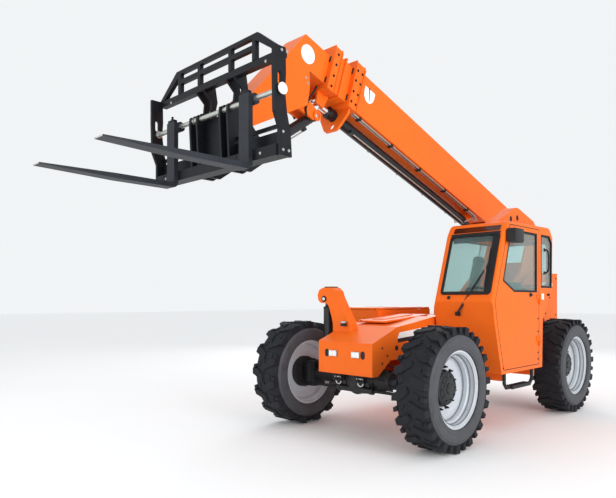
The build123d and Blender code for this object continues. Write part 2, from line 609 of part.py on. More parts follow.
# ------------------------------------------------------------------ boom, inner stage with its gooseneck head
head_outline = [
    (MID_END + 20, INNER_TOP), (5075, INNER_TOP), (TILT_U + 67, TILT_W + 34), (TILT_U - 52, TILT_W - 54),
    (4840, -640), (4865, -460), (4920, INNER_BOTTOM),
    (MID_END + 20, INNER_BOTTOM),
]
with BuildPart() as boom_inner:
    tube = block(INNER_START, MID_END + 30, INNER_BOTTOM, INNER_TOP)
    extrude(side_face(tube, INNER_HALF, BOOM), amount=2 * INNER_HALF)
    extrude(side_face(head_outline, INNER_HALF, BOOM), amount=2 * INNER_HALF)
    extrude(side_disc(TILT_U, TILT_W, HEAD_BOSS_R, INNER_HALF, BOOM), amount=2 * INNER_HALF)
    inner_in = INNER_HALF - BOOM_WALL
    bore = block(INNER_START - 10, 4900, INNER_BOTTOM + BOOM_WALL, INNER_TOP - BOOM_WALL)
    extrude(side_face(bore, inner_in, BOOM), amount=2 * inner_in, mode=Mode.SUBTRACT)
    neck_void = [(4890, -292), (4890, 8), (5065, 8), (5500, -960), (5420, -1250), (5000, -850), (4990, -640)]
    extrude(side_face(neck_void, inner_in, BOOM), amount=2 * inner_in, mode=Mode.SUBTRACT)
    # lugs and pin of the tilt cylinder's foot
    lug_face = [(4880, -500), (4900, -690), (TILT_BASE_U + 30, TILT_BASE_W - 55),
                (TILT_BASE_U - 50, TILT_BASE_W - 20), (TILT_BASE_U - 40, TILT_BASE_W + 45)]
    tilt_lug_in = TILT_R + GAP
    for y_high in (tilt_lug_in + LUG_T, -tilt_lug_in):
        extrude(side_face(lug_face, y_high, BOOM), amount=LUG_T)
    foot_pin = side_disc(TILT_BASE_U, TILT_BASE_W, 25, tilt_lug_in + LUG_T, BOOM)
    extrude(foot_pin, amount=2 * (tilt_lug_in + LUG_T))
    # carriage's pivot pin
    pin_half = INNER_HALF + 45
    extrude(side_disc(TILT_U, TILT_W, TILT_PIN_R, pin_half, BOOM), amount=2 * pin_half)
save("boom_inner", boom_inner.part)

# ------------------------------------------------------------------ cylinders held at two pins
tilt_pivot = BOOM.from_local_coords((TILT_U, TILT_W, 0))
tilt_rod_at = Vector(tilt_pivot.X + TILT_ROD_DX, 0, tilt_pivot.Z + TILT_ROD_DZ)
tilt_base_at = BOOM.from_local_coords((TILT_BASE_U, TILT_BASE_W, 0))
lift_base_at = Vector(LIFT_BASE_X, 0, LIFT_BASE_Z)
lift_top_at = BOOM.from_local_coords((LIFT_TOP_U, LIFT_TOP_W, 0))


def cylinder_pair(name, foot_at, eye_at, radius, rod_radius, barrel_len, foot_pin_r, rod_tail, pin_half):
    """Barrel on its foot pin and rod with its eye and cross pin, along the line between two pins."""
    reach = eye_at - foot_at
    along = Plane(origin=foot_at, x_dir=(0, 1, 0), z_dir=reach.normalized())
    with BuildPart() as barrel:
        with BuildSketch(along.offset(radius * 0.6)):
            Circle(radius)
        extrude(amount=barrel_len - radius * 0.6)
        extrude(side_disc(foot_at.X, foot_at.Z, radius * 0.9, radius), amount=2 * radius)
        foot_bore = side_disc(foot_at.X, foot_at.Z, foot_pin_r + SEAT, radius)
        extrude(foot_bore, amount=2 * radius, mode=Mode.SUBTRACT)
        with BuildSketch(along.offset(radius * 1.6)):
            Circle(rod_radius + SEAT)
        extrude(amount=barrel_len, mode=Mode.SUBTRACT)
    save(f"{name}_barrel", barrel.part)
    with BuildPart() as rod:
        with BuildSketch(along.offset(rod_tail)):
            Circle(rod_radius)
        extrude(amount=reach.length - rod_tail)
        extrude(side_disc(eye_at.X, eye_at.Z, rod_radius * 1.6, EYE_HALF), amount=2 * EYE_HALF)
        extrude(side_disc(eye_at.X, eye_at.Z, rod_radius * 0.7, pin_half), amount=2 * pin_half)
    save(f"{name}_rod", rod.part)


lift_pin_half = outer_in - GAP
tilt_pin_half = tilt_lug_in - GAP
cylinder_pair("lift", lift_base_at, lift_top_at, LIFT_R, LIFT_ROD_R, LIFT_BARREL_LEN, 40,
              LIFT_TAIL, lift_pin_half)
cylinder_pair("tilt", tilt_base_at, tilt_rod_at, TILT_R, TILT_ROD_R, TILT_BARREL_LEN, 25,
              TILT_TAIL, tilt_pin_half)

# ------------------------------------------------------------------ fork carriage
side_plate = [
    (CARRIAGE_FACE - 145, CARRIAGE_BOTTOM), (CARRIAGE_FACE - 14, CARRIAGE_BOTTOM),
    (CARRIAGE_FACE - 14, CARRIAGE_BOTTOM + 210), (CARRIAGE_FACE + 38, SHAFT_Z - 175),
    (CARRIAGE_FACE + 44, SHAFT_Z + 100), (CARRIAGE_FACE + 44, CARRIAGE_TOP),
    (CARRIAGE_FACE - 78, CARRIAGE_TOP), (CARRIAGE_FACE - 82, SHAFT_Z + 130), (CARRIAGE_FACE - 72, SHAFT_Z),
    (CARRIAGE_FACE - 92, SHAFT_Z - 165), (CARRIAGE_FACE - 132, CARRIAGE_BOTTOM + 190),
]
web_plate = [
    (CARRIAGE_FACE - 190, CARRIAGE_BOTTOM), (CARRIAGE_FACE - 14, CARRIAGE_BOTTOM),
    (CARRIAGE_FACE + 12, SHAFT_Z - 40), (CARRIAGE_FACE + 6, SHAFT_Z + 26), (CARRIAGE_FACE - 24, SHAFT_Z + 48),
    (CARRIAGE_FACE - 140, SHAFT_Z + 80), (CARRIAGE_FACE - 152, SHAFT_Z + 190),
    (CARRIAGE_FACE - BAR - 2, CARRIAGE_TOP - BAR), (CARRIAGE_FACE - BAR - 2, CARRIAGE_TOP),
    (CARRIAGE_FACE - 190, CARRIAGE_TOP), (CARRIAGE_FACE - 215, SHAFT_Z + 190),
    (CARRIAGE_FACE - 190, SHAFT_Z + 90), (tilt_pivot.X - 60, tilt_pivot.Z + 60),
    (tilt_pivot.X - 75, tilt_pivot.Z - 40), (tilt_rod_at.X - 60, tilt_rod_at.Z + 30),
    (tilt_rod_at.X - 40, tilt_rod_at.Z - 60), (CARRIAGE_FACE - 250, CARRIAGE_BOTTOM),
]
ear_in = INNER_HALF + GAP + 3
web_t = 25.0
with BuildPart() as carriage:
    for y_high in (CARRIAGE_HALF, -CARRIAGE_HALF + 30):
        extrude(side_face(side_plate, y_high), amount=30)
    for y_high in (ear_in + web_t, -ear_in, 290, -290 + web_t):
        extrude(side_face(web_plate, y_high), amount=web_t)
    # cross plate with the lugs of the tilt cylinder's eye
    cross_x = CARRIAGE_FACE - 110
    cross = block(cross_x, cross_x + 20, CARRIAGE_BOTTOM, SHAFT_Z)
    extrude(side_face(cross, 290), amount=580)
    eye_lug = [(cross_x, tilt_rod_at.Z - 90), (cross_x, tilt_rod_at.Z + 90),
               (tilt_rod_at.X - 20, tilt_rod_at.Z + 60), (tilt_rod_at.X - 60, tilt_rod_at.Z),
               (tilt_rod_at.X - 20, tilt_rod_at.Z - 60)]
    for y_high in (tilt_lug_in + LUG_T, -tilt_lug_in):
        extrude(side_face(eye_lug, y_high), amount=LUG_T)
    # top, bottom and back rails
    span_half = CARRIAGE_HALF - 30
    top_bar = block(CARRIAGE_FACE - 120, CARRIAGE_FACE - BAR, CARRIAGE_TOP - BAR, CARRIAGE_TOP)
    extrude(side_face(top_bar, span_half), amount=2 * span_half)
    foot_bar = block(CARRIAGE_FACE - 130, CARRIAGE_FACE - 1, CARRIAGE_BOTTOM, CARRIAGE_BOTTOM + 90)
    extrude(side_face(foot_bar, span_half), amount=2 * span_half)
    skirt = block(CARRIAGE_FACE - 110, CARRIAGE_FACE - 90, CARRIAGE_BOTTOM + 90, CARRIAGE_BOTTOM + 215)
    extrude(side_face(skirt, span_half), amount=2 * span_half)
    brace = block(CARRIAGE_FACE - 112, CARRIAGE_FACE - 88, CARRIAGE_BOTTOM + 245, CARRIAGE_BOTTOM + 275)
    extrude(side_face(brace, span_half), amount=2 * span_half)
    # load rest above the top bar
    rest = [(-CARRIAGE_HALF + 20, CARRIAGE_TOP), (-REST_HALF, REST_TOP), (REST_HALF, REST_TOP),
            (CARRIAGE_HALF - 20, CARRIAGE_TOP)]
    extrude(cross_face(rest, CARRIAGE_FACE - 95), amount=40)
    rest_low = CARRIAGE_TOP
    rest_mid = (CARRIAGE_TOP + REST_TOP) / 2
    bays = ((-530, -250), (-210, 210), (250, 530))
    for y_low, y_high in bays:
        for z_low, z_high in ((rest_low, rest_mid - 20), (rest_mid + 20, REST_TOP - 35)):
            bay = [(y_low, z_low), (y_high, z_low), (y_high, z_high), (y_low, z_high)]
            extrude(cross_face(bay, CARRIAGE_FACE - 100), amount=50, mode=Mode.SUBTRACT)
    for side in (1, -1):
        corner = [(side * 575, rest_low), (side * 820, rest_low), (side * 575, REST_TOP - 60)]
        extrude(cross_face(corner, CARRIAGE_FACE - 100), amount=50, mode=Mode.SUBTRACT)
    # upright slots above the shaft, holes for the fork shaft and for the pivot pin
    with BuildSketch(SIDE.offset(-CARRIAGE_HALF)):
        with Locations((CARRIAGE_FACE - 14, SHAFT_Z + 85)):
            SlotOverall(104, 40, rotation=90)
    extrude(amount=2 * CARRIAGE_HALF, mode=Mode.SUBTRACT)
    shaft_hole = side_disc(SHAFT_X, SHAFT_Z, SHAFT_R + SEAT, CARRIAGE_HALF)
    extrude(shaft_hole, amount=2 * CARRIAGE_HALF, mode=Mode.SUBTRACT)
    pivot_hole = side_disc(tilt_pivot.X, tilt_pivot.Z, TILT_PIN_R + SEAT, CARRIAGE_HALF / 2)
    extrude(pivot_hole, amount=CARRIAGE_HALF, mode=Mode.SUBTRACT)
save("carriage_frame", carriage.part)

with BuildPart() as fork_shaft:
    extrude(side_disc(SHAFT_X, SHAFT_Z, SHAFT_R, CARRIAGE_HALF + 2), amount=2 * CARRIAGE_HALF + 4)
    for y_high in (CARRIAGE_HALF + 14, -CARRIAGE_HALF - 1):
        extrude(side_disc(SHAFT_X, SHAFT_Z, SHAFT_R + 10, y_high), amount=13)
save("fork_shaft", fork_shaft.part)

shank_back = CARRIAGE_FACE + SEAT
fork_outline = [
    (shank_back, FORK_TOP), (shank_back, FORK_BOTTOM),
    (shank_back + 600, FORK_BOTTOM), (shank_back + FORK_T + FORK_LEN, FORK_BOTTOM + 22),
    (shank_back + FORK_T + FORK_LEN, FORK_BOTTOM + 32), (shank_back + 600, FORK_BOTTOM + FORK_T),
    (shank_back + FORK_T + 20, FORK_BOTTOM + FORK_T), (shank_back + FORK_T, FORK_BOTTOM + FORK_T + 20),
    (shank_back + FORK_T, FORK_TOP),
]
for name, y_mid in (("fork_left", FORK_Y), ("fork_right", -FORK_Y)):
    y_high = y_mid + FORK_WIDTH / 2
    with BuildPart() as fork:
        with BuildSketch(SIDE.offset(-y_high)) as fork_face:
            with BuildLine():
                Polyline(*fork_outline, close=True)
            make_face()
            fillet(fork_face.vertices().group_by(Axis.Y)[0].sort_by(Axis.X)[0], HEEL_R)
        extrude(amount=FORK_WIDTH)
        extrude(side_disc(SHAFT_X, SHAFT_Z, FORK_EYE_R, y_high), amount=FORK_WIDTH)
        shaft_bore = side_disc(SHAFT_X, SHAFT_Z, SHAFT_R + SEAT, y_high)
        extrude(shaft_bore, amount=FORK_WIDTH, mode=Mode.SUBTRACT)
    save(name, fork.part)

# ------------------------------------------------------------------ cab
cab_outline = [
    (X_MID + 540, CAB_FLOOR), (X_MID + 700, 1250), (SHIELD_X, CAB_SILL), (SHIELD_TOP_X, SHIELD_TOP_Z),
    (X_MID + 390, CAB_ROOF - 16), (X_MID - 780, CAB_ROOF), (X_MID - 880, CAB_ROOF - 125), (X_MID - 860, 1650),
    (X_MID - 560, 1300), (X_MID - 540, CAB_FLOOR),
]
cab_width = CAB_OUT - CAB_IN
with BuildSketch(Plane.XZ.offset(-CAB_OUT)) as cab_face:
    with BuildLine():
        Polyline(*cab_outline, close=True)
    make_face()
    fillet([v for v in cab_face.vertices() if v.Y > SHIELD_TOP_Z + 60], ROOF_R)
with BuildSketch(Plane.XZ.offset(-CAB_OUT + CAB_WALL)) as room_face:
    add(cab_face.sketch_local)
    offset(amount=-CAB_WALL, mode=Mode.REPLACE)
door_outline = [
    (DOOR_REAR_X, DOOR_BOTTOM), (X_MID + 485, DOOR_BOTTOM), (X_MID + 635, 1250), (X_MID + 690, CAB_SILL),
    (X_MID + 410, 2270), (X_MID + 330, DOOR_TOP), (DOOR_REAR_X, DOOR_TOP),
]
door_window = [
    (DOOR_REAR_X + 60, 1630), (X_MID + 230, 1630), (X_MID + 505, 1750), (X_MID + 340, 2250),
    (X_MID + 290, DOOR_TOP - 55), (DOOR_REAR_X + 60, DOOR_TOP - 55),
]
quarter_window = [
    (X_MID - 826, 1690), (X_MID - 510, 1690), (X_MID - 510, DOOR_TOP - 55), (X_MID - 760, DOOR_TOP - 55),
    (X_MID - 834, DOOR_TOP - 140),
]
inner_window = [
    (X_MID - 760, CAB_SILL + 40), (X_MID + 640, CAB_SILL + 40), (X_MID + 400, 2270), (X_MID - 760, 2270),
]
with BuildSketch(Plane.XZ.offset(-CAB_OUT)) as door_hole_face:
    with BuildLine():
        Polyline(*door_outline, close=True)
    make_face()
    offset(amount=GAP, kind=Kind.INTERSECTION)
shield_dir = Vector(SHIELD_TOP_X - SHIELD_X, 0, SHIELD_TOP_Z - CAB_SILL).normalized()
shield = Plane(origin=(SHIELD_X, (CAB_IN + CAB_OUT) / 2 + 15, CAB_SILL), x_dir=(0, 1, 0),
               z_dir=(shield_dir.Z, 0, -shield_dir.X))
shield_size = (cab_width - 125, 742)
shield_mid = 92 + shield_size[1] / 2
rear_window_size = (cab_width - 150, 560)
rear_window_z = 1990.0
hinge_heights = (960.0, 1480.0)


def hinge_leaf(toward, z_low):
    """Hinge knuckle with its leaf, towards +X on the door or -X on the shell."""
    with BuildSketch(Plane.XY.offset(z_low)) as leaf:
        with Locations((HINGE_X + toward * 35, CAB_OUT + 5)):
            Rectangle(70, 10)
        with Locations((HINGE_X, HINGE_Y)):
            Circle(HINGE_R)
    return leaf.sketch


with BuildPart() as cab:
    extrude(cab_face.sketch, amount=cab_width)
    rims = [e for e in cab.edges() if e.center().Z > CAB_SILL + 20 and abs((e % 0.5).Y) < 0.01]
    fillet(rims, CAB_EDGE_R)
    extrude(room_face.sketch, amount=cab_width - 2 * CAB_WALL, mode=Mode.SUBTRACT)
    extrude(door_hole_face.sketch, amount=CAB_WALL + 5, mode=Mode.SUBTRACT)
    extrude(side_face(quarter_window, CAB_OUT), amount=CAB_WALL + 5, mode=Mode.SUBTRACT)
    extrude(side_face(inner_window, CAB_IN + CAB_WALL + 5), amount=CAB_WALL + 5, mode=Mode.SUBTRACT)
    with BuildSketch(shield.offset(-CAB_WALL * 1.5)):
        with Locations((0, shield_mid)):
            RectangleRounded(*shield_size, 40)
    extrude(amount=CAB_WALL * 3, mode=Mode.SUBTRACT)
    with BuildSketch(Plane.YZ.offset(X_MID - 910)):
        with Locations(((CAB_IN + CAB_OUT) / 2, rear_window_z)):
            RectangleRounded(*rear_window_size, 40)
    extrude(amount=120, mode=Mode.SUBTRACT)
    for z_low in hinge_heights:
        extrude(hinge_leaf(-1, z_low), amount=HINGE_LEN)
        with Locations((HINGE_X, HINGE_Y, z_low + HINGE_LEN)):
            Cylinder(HINGE_PIN_R, 2 * HINGE_LEN)
save("cab_shell", cab.part)

with BuildPart() as door:
    extrude(side_face(door_outline, CAB_OUT), amount=CAB_WALL)
    extrude(side_face(door_window, CAB_OUT), amount=CAB_WALL, mode=Mode.SUBTRACT)
    for z_low in hinge_heights:
        extrude(hinge_leaf(1, z_low + HINGE_LEN + SEAT), amount=HINGE_LEN - SEAT)
        with Locations((HINGE_X, HINGE_Y, z_low + HINGE_LEN)):
            Cylinder(HINGE_PIN_R + PIN_SLACK, 2 * HINGE_LEN + 10, mode=Mode.SUBTRACT)
save("cab_door", door.part)


def pane(points, y_high):
    """Window pane a seat's width inside its opening."""
    with BuildPart() as glass:
        with BuildSketch(Plane.XZ.offset(-y_high)):
            with BuildLine():
                Polyline(*points, close=True)
            make_face()
            offset(amount=-SEAT, kind=Kind.INTERSECTION, mode=Mode.REPLACE)
        extrude(amount=GLASS_T)
    return glass.part


pane_in = (CAB_WALL - GLASS_T) / 2
save("glass_door", pane(door_window, CAB_OUT - pane_in))
save("glass_quarter", pane(quarter_window, CAB_OUT - pane_in))
save("glass_inner", pane(inner_window, CAB_IN + pane_in + GLASS_T))
with BuildPart() as glass_front:
    with BuildSketch(shield.offset(-pane_in - GLASS_T)):
        with Locations((0, shield_mid)):
            RectangleRounded(shield_size[0] - 2 * SEAT, shield_size[1] - 2 * SEAT, 40 - SEAT)
    extrude(amount=GLASS_T)
save("glass_front", glass_front.part)
with BuildPart() as glass_rear:
    with BuildSketch(Plane.YZ.offset(X_MID - 846)):
        with Locations(((CAB_IN + CAB_OUT) / 2, rear_window_z)):
            RectangleRounded(rear_window_size[0] - 2 * SEAT, rear_window_size[1] - 2 * SEAT, 40 - SEAT)
    extrude(amount=GLASS_T)
save("glass_rear", glass_rear.part)

# roof guard with its two side holes
guard_outline = [
    (X_MID + 310, CAB_ROOF - 30), (X_MID - 232, CAB_ROOF + 219), (X_MID - 262, CAB_ROOF + 225),
    (X_MID - 340, CAB_ROOF + 223), (X_MID - 385, CAB_ROOF + 208), (X_MID - 775, CAB_ROOF + 98),
    (X_MID - 800, CAB_ROOF + 70), (X_MID - 800, CAB_ROOF - 60),
]
guard_holes = ((X_MID - 124, CAB_ROOF + 71), (X_MID - 298, CAB_ROOF + 99))
with BuildPart() as roof_guard:
    extrude(side_face(guard_outline, GUARD_OUT), amount=GUARD_W)
    extrude(cab_face.sketch, amount=cab_width, mode=Mode.SUBTRACT)
    for x_hole, z_hole in guard_holes:
        extrude(side_disc(x_hole, z_hole, 36, GUARD_OUT), amount=GUARD_W, mode=Mode.SUBTRACT)
save("roof_guard", roof_guard.part)

# seat, dash with steering column, steering wheel
with BuildPart() as seat:
    seat_y = (CAB_IN + CAB_OUT) / 2
    with Locations((X_MID - 230, seat_y, CAB_FLOOR + CAB_WALL + 150)):
        Box(360, 360, 300)
    with Locations((X_MID - 220, seat_y, CAB_FLOOR + CAB_WALL + 360)):
        Box(480, 460, 120)
    with Locations(Location((X_MID - 410, seat_y, CAB_FLOOR + CAB_WALL + 660), (0, -8, 0))):
        Box(110, 440, 560)
save("seat", seat.part)
with BuildPart() as dash:
    dash_outline = [
        (X_MID + 470, CAB_FLOOR + CAB_WALL), (X_MID + 495, CAB_FLOOR + CAB_WALL),
        (X_MID + 700, CAB_SILL - 20), (X_MID + 440, CAB_SILL - 60), (X_MID + 380, CAB_SILL - 160),
        (X_MID + 430, CAB_SILL - 220),
    ]
    extrude(side_face(dash_outline, CAB_OUT - 90), amount=cab_width - 180)
    column = Plane(origin=(X_MID + 430, seat_y, CAB_SILL - 90), x_dir=(0, 1, 0), z_dir=(-0.5, 0, 0.866))
    with BuildSketch(column):
        Circle(28)
    extrude(amount=190)
save("dash", dash.part)
with BuildPart() as steering_wheel:
    with BuildSketch(column.offset(190 + SEAT)):
        RegularPolygon(182, 20)
        RegularPolygon(156, 20, mode=Mode.SUBTRACT)
        Circle(40)
        Rectangle(330, 28)
    extrude(amount=22)
save("steering_wheel", steering_wheel.part)

# ------------------------------------------------------------------ engine pod on the right
tray_outline = [
    (POD_REAR_X, FRAME_BELLY), (X_MID + 560, FRAME_BELLY), (POD_FRONT_X + 60, POD_SPLIT),
    (POD_FRONT_X, POD_SPLIT), (POD_REAR_X, POD_SPLIT),
]
pod_width = -POD_OUT - FRAME_HALF


def pod_disc(x, radius):
    """Round face on the hood's hinge line, square to X."""
    with BuildSketch(Plane.YZ.offset(x)) as face:
        with Locations((HOOD_HINGE_Y, HOOD_HINGE_Z)):
            Circle(radius)
    return face.sketch


with BuildPart() as engine_bay:
    extrude(side_face(tray_outline, -FRAME_HALF), amount=pod_width)
    for x_low in (POD_REAR_X + 5, POD_FRONT_X - 35):
        wall = block(x_low, x_low + 30, POD_SPLIT, POD_TOP - HOOD_T - GAP)
        extrude(side_face(wall, -FRAME_HALF), amount=pod_width - HOOD_T - GAP)
        ear = pod_disc(x_low, 18)
        extrude(ear, amount=30)
    arch = side_disc(X_FRONT, AXLE_Z, ARCH_R, -FRAME_HALF)
    extrude(arch, amount=pod_width, mode=Mode.SUBTRACT)
    extrude(pod_disc(POD_REAR_X + 5, 8), amount=POD_FRONT_X - POD_REAR_X - 10)
save("engine_bay", engine_bay.part)
with BuildPart() as engine_hood:
    with BuildSketch(Plane.YZ.offset(POD_REAR_X)) as hood_face:
        with BuildLine():
            Polyline((HOOD_EDGE_Y, POD_TOP), (POD_OUT, POD_TOP), (POD_OUT, POD_SPLIT + GAP),
                     (POD_OUT + HOOD_T, POD_SPLIT + GAP), (POD_OUT + HOOD_T, POD_TOP - HOOD_T),
                     (HOOD_EDGE_Y, POD_TOP - HOOD_T), close=True)
        make_face()
        fillet(hood_face.vertices().sort_by_distance((POD_OUT, POD_TOP, 0))[0], 70)
    extrude(amount=POD_FRONT_X - POD_REAR_X)
    for x_low in (POD_REAR_X + 60, POD_FRONT_X - 180):
        leaf = [(HOOD_EDGE_Y - 5, HOOD_HINGE_Z - 6), (HOOD_EDGE_Y - 5, HOOD_HINGE_Z + 12),
                (HOOD_HINGE_Y, HOOD_HINGE_Z + 12), (HOOD_HINGE_Y, HOOD_HINGE_Z - 6)]
        extrude(cross_face(leaf, x_low), amount=120)
        extrude(pod_disc(x_low, 14), amount=120)
        extrude(pod_disc(x_low, 8 + PIN_SLACK), amount=120, mode=Mode.SUBTRACT)
save("engine_hood", engine_hood.part)
with BuildPart() as engine:
    with Locations((X_MID + 180, (POD_OUT - FRAME_HALF) / 2, POD_SPLIT + 200)):
        Box(800, 460, 400)
save("engine_block", engine.part)
with BuildPart() as tank:
    with Locations((X_MID - 575, -FRAME_HALF - 150, 960)):
        Box(360, 300, 680)
save("hydraulic_tank", tank.part)

# ------------------------------------------------------------------ step, mirror, lamps
with BuildPart() as step:
    step_line = [Vector(X_MID - 300, CAB_OUT - 30, CAB_FLOOR), Vector(X_MID - 300, CAB_OUT - 30, 520),
                 Vector(X_MID + 420, CAB_OUT - 30, 520), Vector(X_MID + 420, CAB_OUT - 30, CAB_FLOOR)]
    with BuildLine() as step_path:
        Polyline(step_line[0], step_line[1] + Vector(0, 0, 50), step_line[1] + Vector(50, 0, 0),
                 step_line[2] - Vector(50, 0, 0), step_line[2] + Vector(0, 0, 50), step_line[3])
    with BuildSketch(Plane(origin=step_line[0], z_dir=(0, 0, -1))):
        RegularPolygon(20, 12)
    sweep(transition=Transition.RIGHT)
    with Locations((X_MID + 60, CAB_OUT - 30, 520)):
        Box(480, 90, 38)
save("cab_step", step.part)
with BuildPart() as mirror:
    with BuildSketch(Plane.YZ.offset(X_MID + 240)):
        with Locations((CAB_OUT + 66, CAB_ROOF - 190)):
            Rectangle(100, 150)
    extrude(amount=150, taper=7)
    chamfer(mirror.edges().group_by(Axis.X)[-1], 16)
    with Locations((X_MID + 300, CAB_OUT + SEAT + 14, CAB_ROOF - 190)):
        Box(50, 28, 60)
save("cab_mirror", mirror.part)
with BuildPart() as lamps:
    for side in (1, -1):
        with Locations((NOSE_X + 6, side * LAMP_Y, LAMP_Z)):
            Box(12, 112, 62)
save("nose_lamps", lamps.part)
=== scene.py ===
import json
from math import cos, pi, radians, sin

import bmesh
import bpy
from mathutils import Matrix, Vector


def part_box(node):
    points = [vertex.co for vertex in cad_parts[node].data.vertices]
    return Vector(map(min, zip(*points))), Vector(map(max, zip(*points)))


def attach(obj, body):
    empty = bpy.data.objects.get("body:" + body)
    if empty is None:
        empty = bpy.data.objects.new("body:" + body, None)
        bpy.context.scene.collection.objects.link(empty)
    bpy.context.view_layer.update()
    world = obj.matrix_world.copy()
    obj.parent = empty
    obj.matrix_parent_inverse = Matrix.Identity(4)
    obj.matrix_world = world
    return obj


with open("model.json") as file:
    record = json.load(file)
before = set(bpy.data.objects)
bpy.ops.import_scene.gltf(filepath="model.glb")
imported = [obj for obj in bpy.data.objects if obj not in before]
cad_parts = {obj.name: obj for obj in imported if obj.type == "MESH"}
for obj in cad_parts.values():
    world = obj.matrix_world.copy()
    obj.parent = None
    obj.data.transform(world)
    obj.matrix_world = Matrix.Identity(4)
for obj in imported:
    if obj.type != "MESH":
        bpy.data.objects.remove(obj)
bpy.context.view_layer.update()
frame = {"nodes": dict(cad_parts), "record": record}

# ------------------------------------------------------------------ places, in metres
X_MID = -1.206                          # middle of the wheelbase
X_FRONT, X_REAR = X_MID + 1.54, X_MID - 1.54
AXLE_Z, WHEEL_Y, KINGPIN_Y = 0.635, 1.04, 0.85
CAB_SIDE, SEAT_Y = 1.1705, 0.795        # the cab's outer side and the seat's middle
LEVEL_X, LEVEL_Y = 1.55, -0.55        # axis of the levelling cylinder
SHAFT_X, SHAFT_Z = 3.662, 3.165         # axis of the forks' shaft
BOOM_X, BOOM_Z = -2.2, 2.6              # the boom's rear pivot
HEAD_U, HEAD_W = 4.64, -0.63          # foot of the tilt cylinder, in boom coordinates
HINGE_U, HINGE_W = 5.58, -1.268        # hinge of the carriage, in boom coordinates
BOOM_A = radians(17.8)
BOTH = (1, -1)                          # both ways along an axis
X, Y, Z = Vector((1, 0, 0)), Vector((0, 1, 0)), Vector((0, 0, 1))
U = Vector((cos(BOOM_A), 0, sin(BOOM_A)))       # along the boom
W = Vector((-sin(BOOM_A), 0, cos(BOOM_A)))      # square to it, upwards


def at(x, y, z):
    """Point from the middle of the wheelbase."""
    return Vector((X_MID + x, y, z))


def on_boom(u, y, w):
    """Point in boom coordinates, from its rear pivot."""
    return at(BOOM_X, 0, BOOM_Z) + U * u + W * w + Y * y


def spread(count, start=0.0):
    """Angles spread evenly over a full turn."""
    return [start + 2 * pi * k / count for k in range(count)]


def spoke(angle, first=X, second=Z):
    """Unit vector at an angle from one axis towards another."""
    return first * cos(angle) + second * sin(angle)


def axes_turn(x, y, z):
    """Rotation that takes the three axes to these directions."""
    return Matrix((x, y, z)).transposed().to_4x4()


def turn_to(direction):
    """Rotation that takes +Z to this direction."""
    return Z.rotation_difference(direction).to_matrix().to_4x4()


FLAT_TURN = axes_turn(U, Y, W)                  # for boxes that lie along the boom


# ------------------------------------------------------------------ materials
def node(tree, kind, **values):
    n = tree.nodes.new(kind)
    for key, value in values.items():
        if key in n.inputs:
            n.inputs[key].default_value = value
        else:
            setattr(n, key, value)
    return n


def noise(t, place, **values):
    """Cloudy value between 0 and 1."""
    n = node(t, "ShaderNodeTexNoise", **values)
    t.links.new(place, n.inputs["Vector"])
    return n.outputs["Fac"]


def remap(t, value, **ends):
    """A value carried over from one range to another."""
    n = node(t, "ShaderNodeMapRange", **{key.replace("_", " "): end for key, end in ends.items()})
    t.links.new(value, n.inputs["Value"])
    return n.outputs["Result"]


def maths(t, operation, first, second):
    """Result of an operation on a socket and a second socket or number."""
    n = node(t, "ShaderNodeMath", operation=operation)
    t.links.new(first, n.inputs[0])
    if isinstance(second, float):
        n.inputs[1].default_value = second
    else:
        t.links.new(second, n.inputs[1])
    return n.outputs[0]


def laid_over(t, share, under, colour):
    """A plain colour laid over a colour socket."""
    n = node(t, "ShaderNodeMix", data_type="RGBA")
    first, second = [s for s in n.inputs if s.type == "RGBA"]
    second.default_value = colour
    t.links.new(share, n.inputs[0])
    t.links.new(under, first)
    return [s for s in n.outputs if s.type == "RGBA"][0]


def coordinate(t, place, axis):
    """One coordinate of a place."""
    n = node(t, "ShaderNodeSeparateXYZ")
    t.links.new(place, n.inputs["Vector"])
    return n.outputs[axis]


def see_into(t, bsdf, tint):
    """Glass: clear where it is looked at squarely, shiny at a slant."""
    clear = node(t, "ShaderNodeBsdfTransparent", Color=(*tint, 1))
    slant = node(t, "ShaderNodeLayerWeight", Blend=0.25).outputs["Facing"]
    both = node(t, "ShaderNodeMixShader")
    t.links.new(remap(t, slant, To_Min=0.08, To_Max=0.62), both.inputs[0])
    t.links.new(clear.outputs["BSDF"], both.inputs[1])
    t.links.new(bsdf, both.inputs[2])
    return both.outputs["Shader"]


DUST, ROAD_DUST = (0.3, 0.25, 0.2, 1), (0.12, 0.11, 0.1, 1)
NO_DUST_Z, FULL_DUST_Z = 1.3, 0.2       # heights between which dust thickens downwards


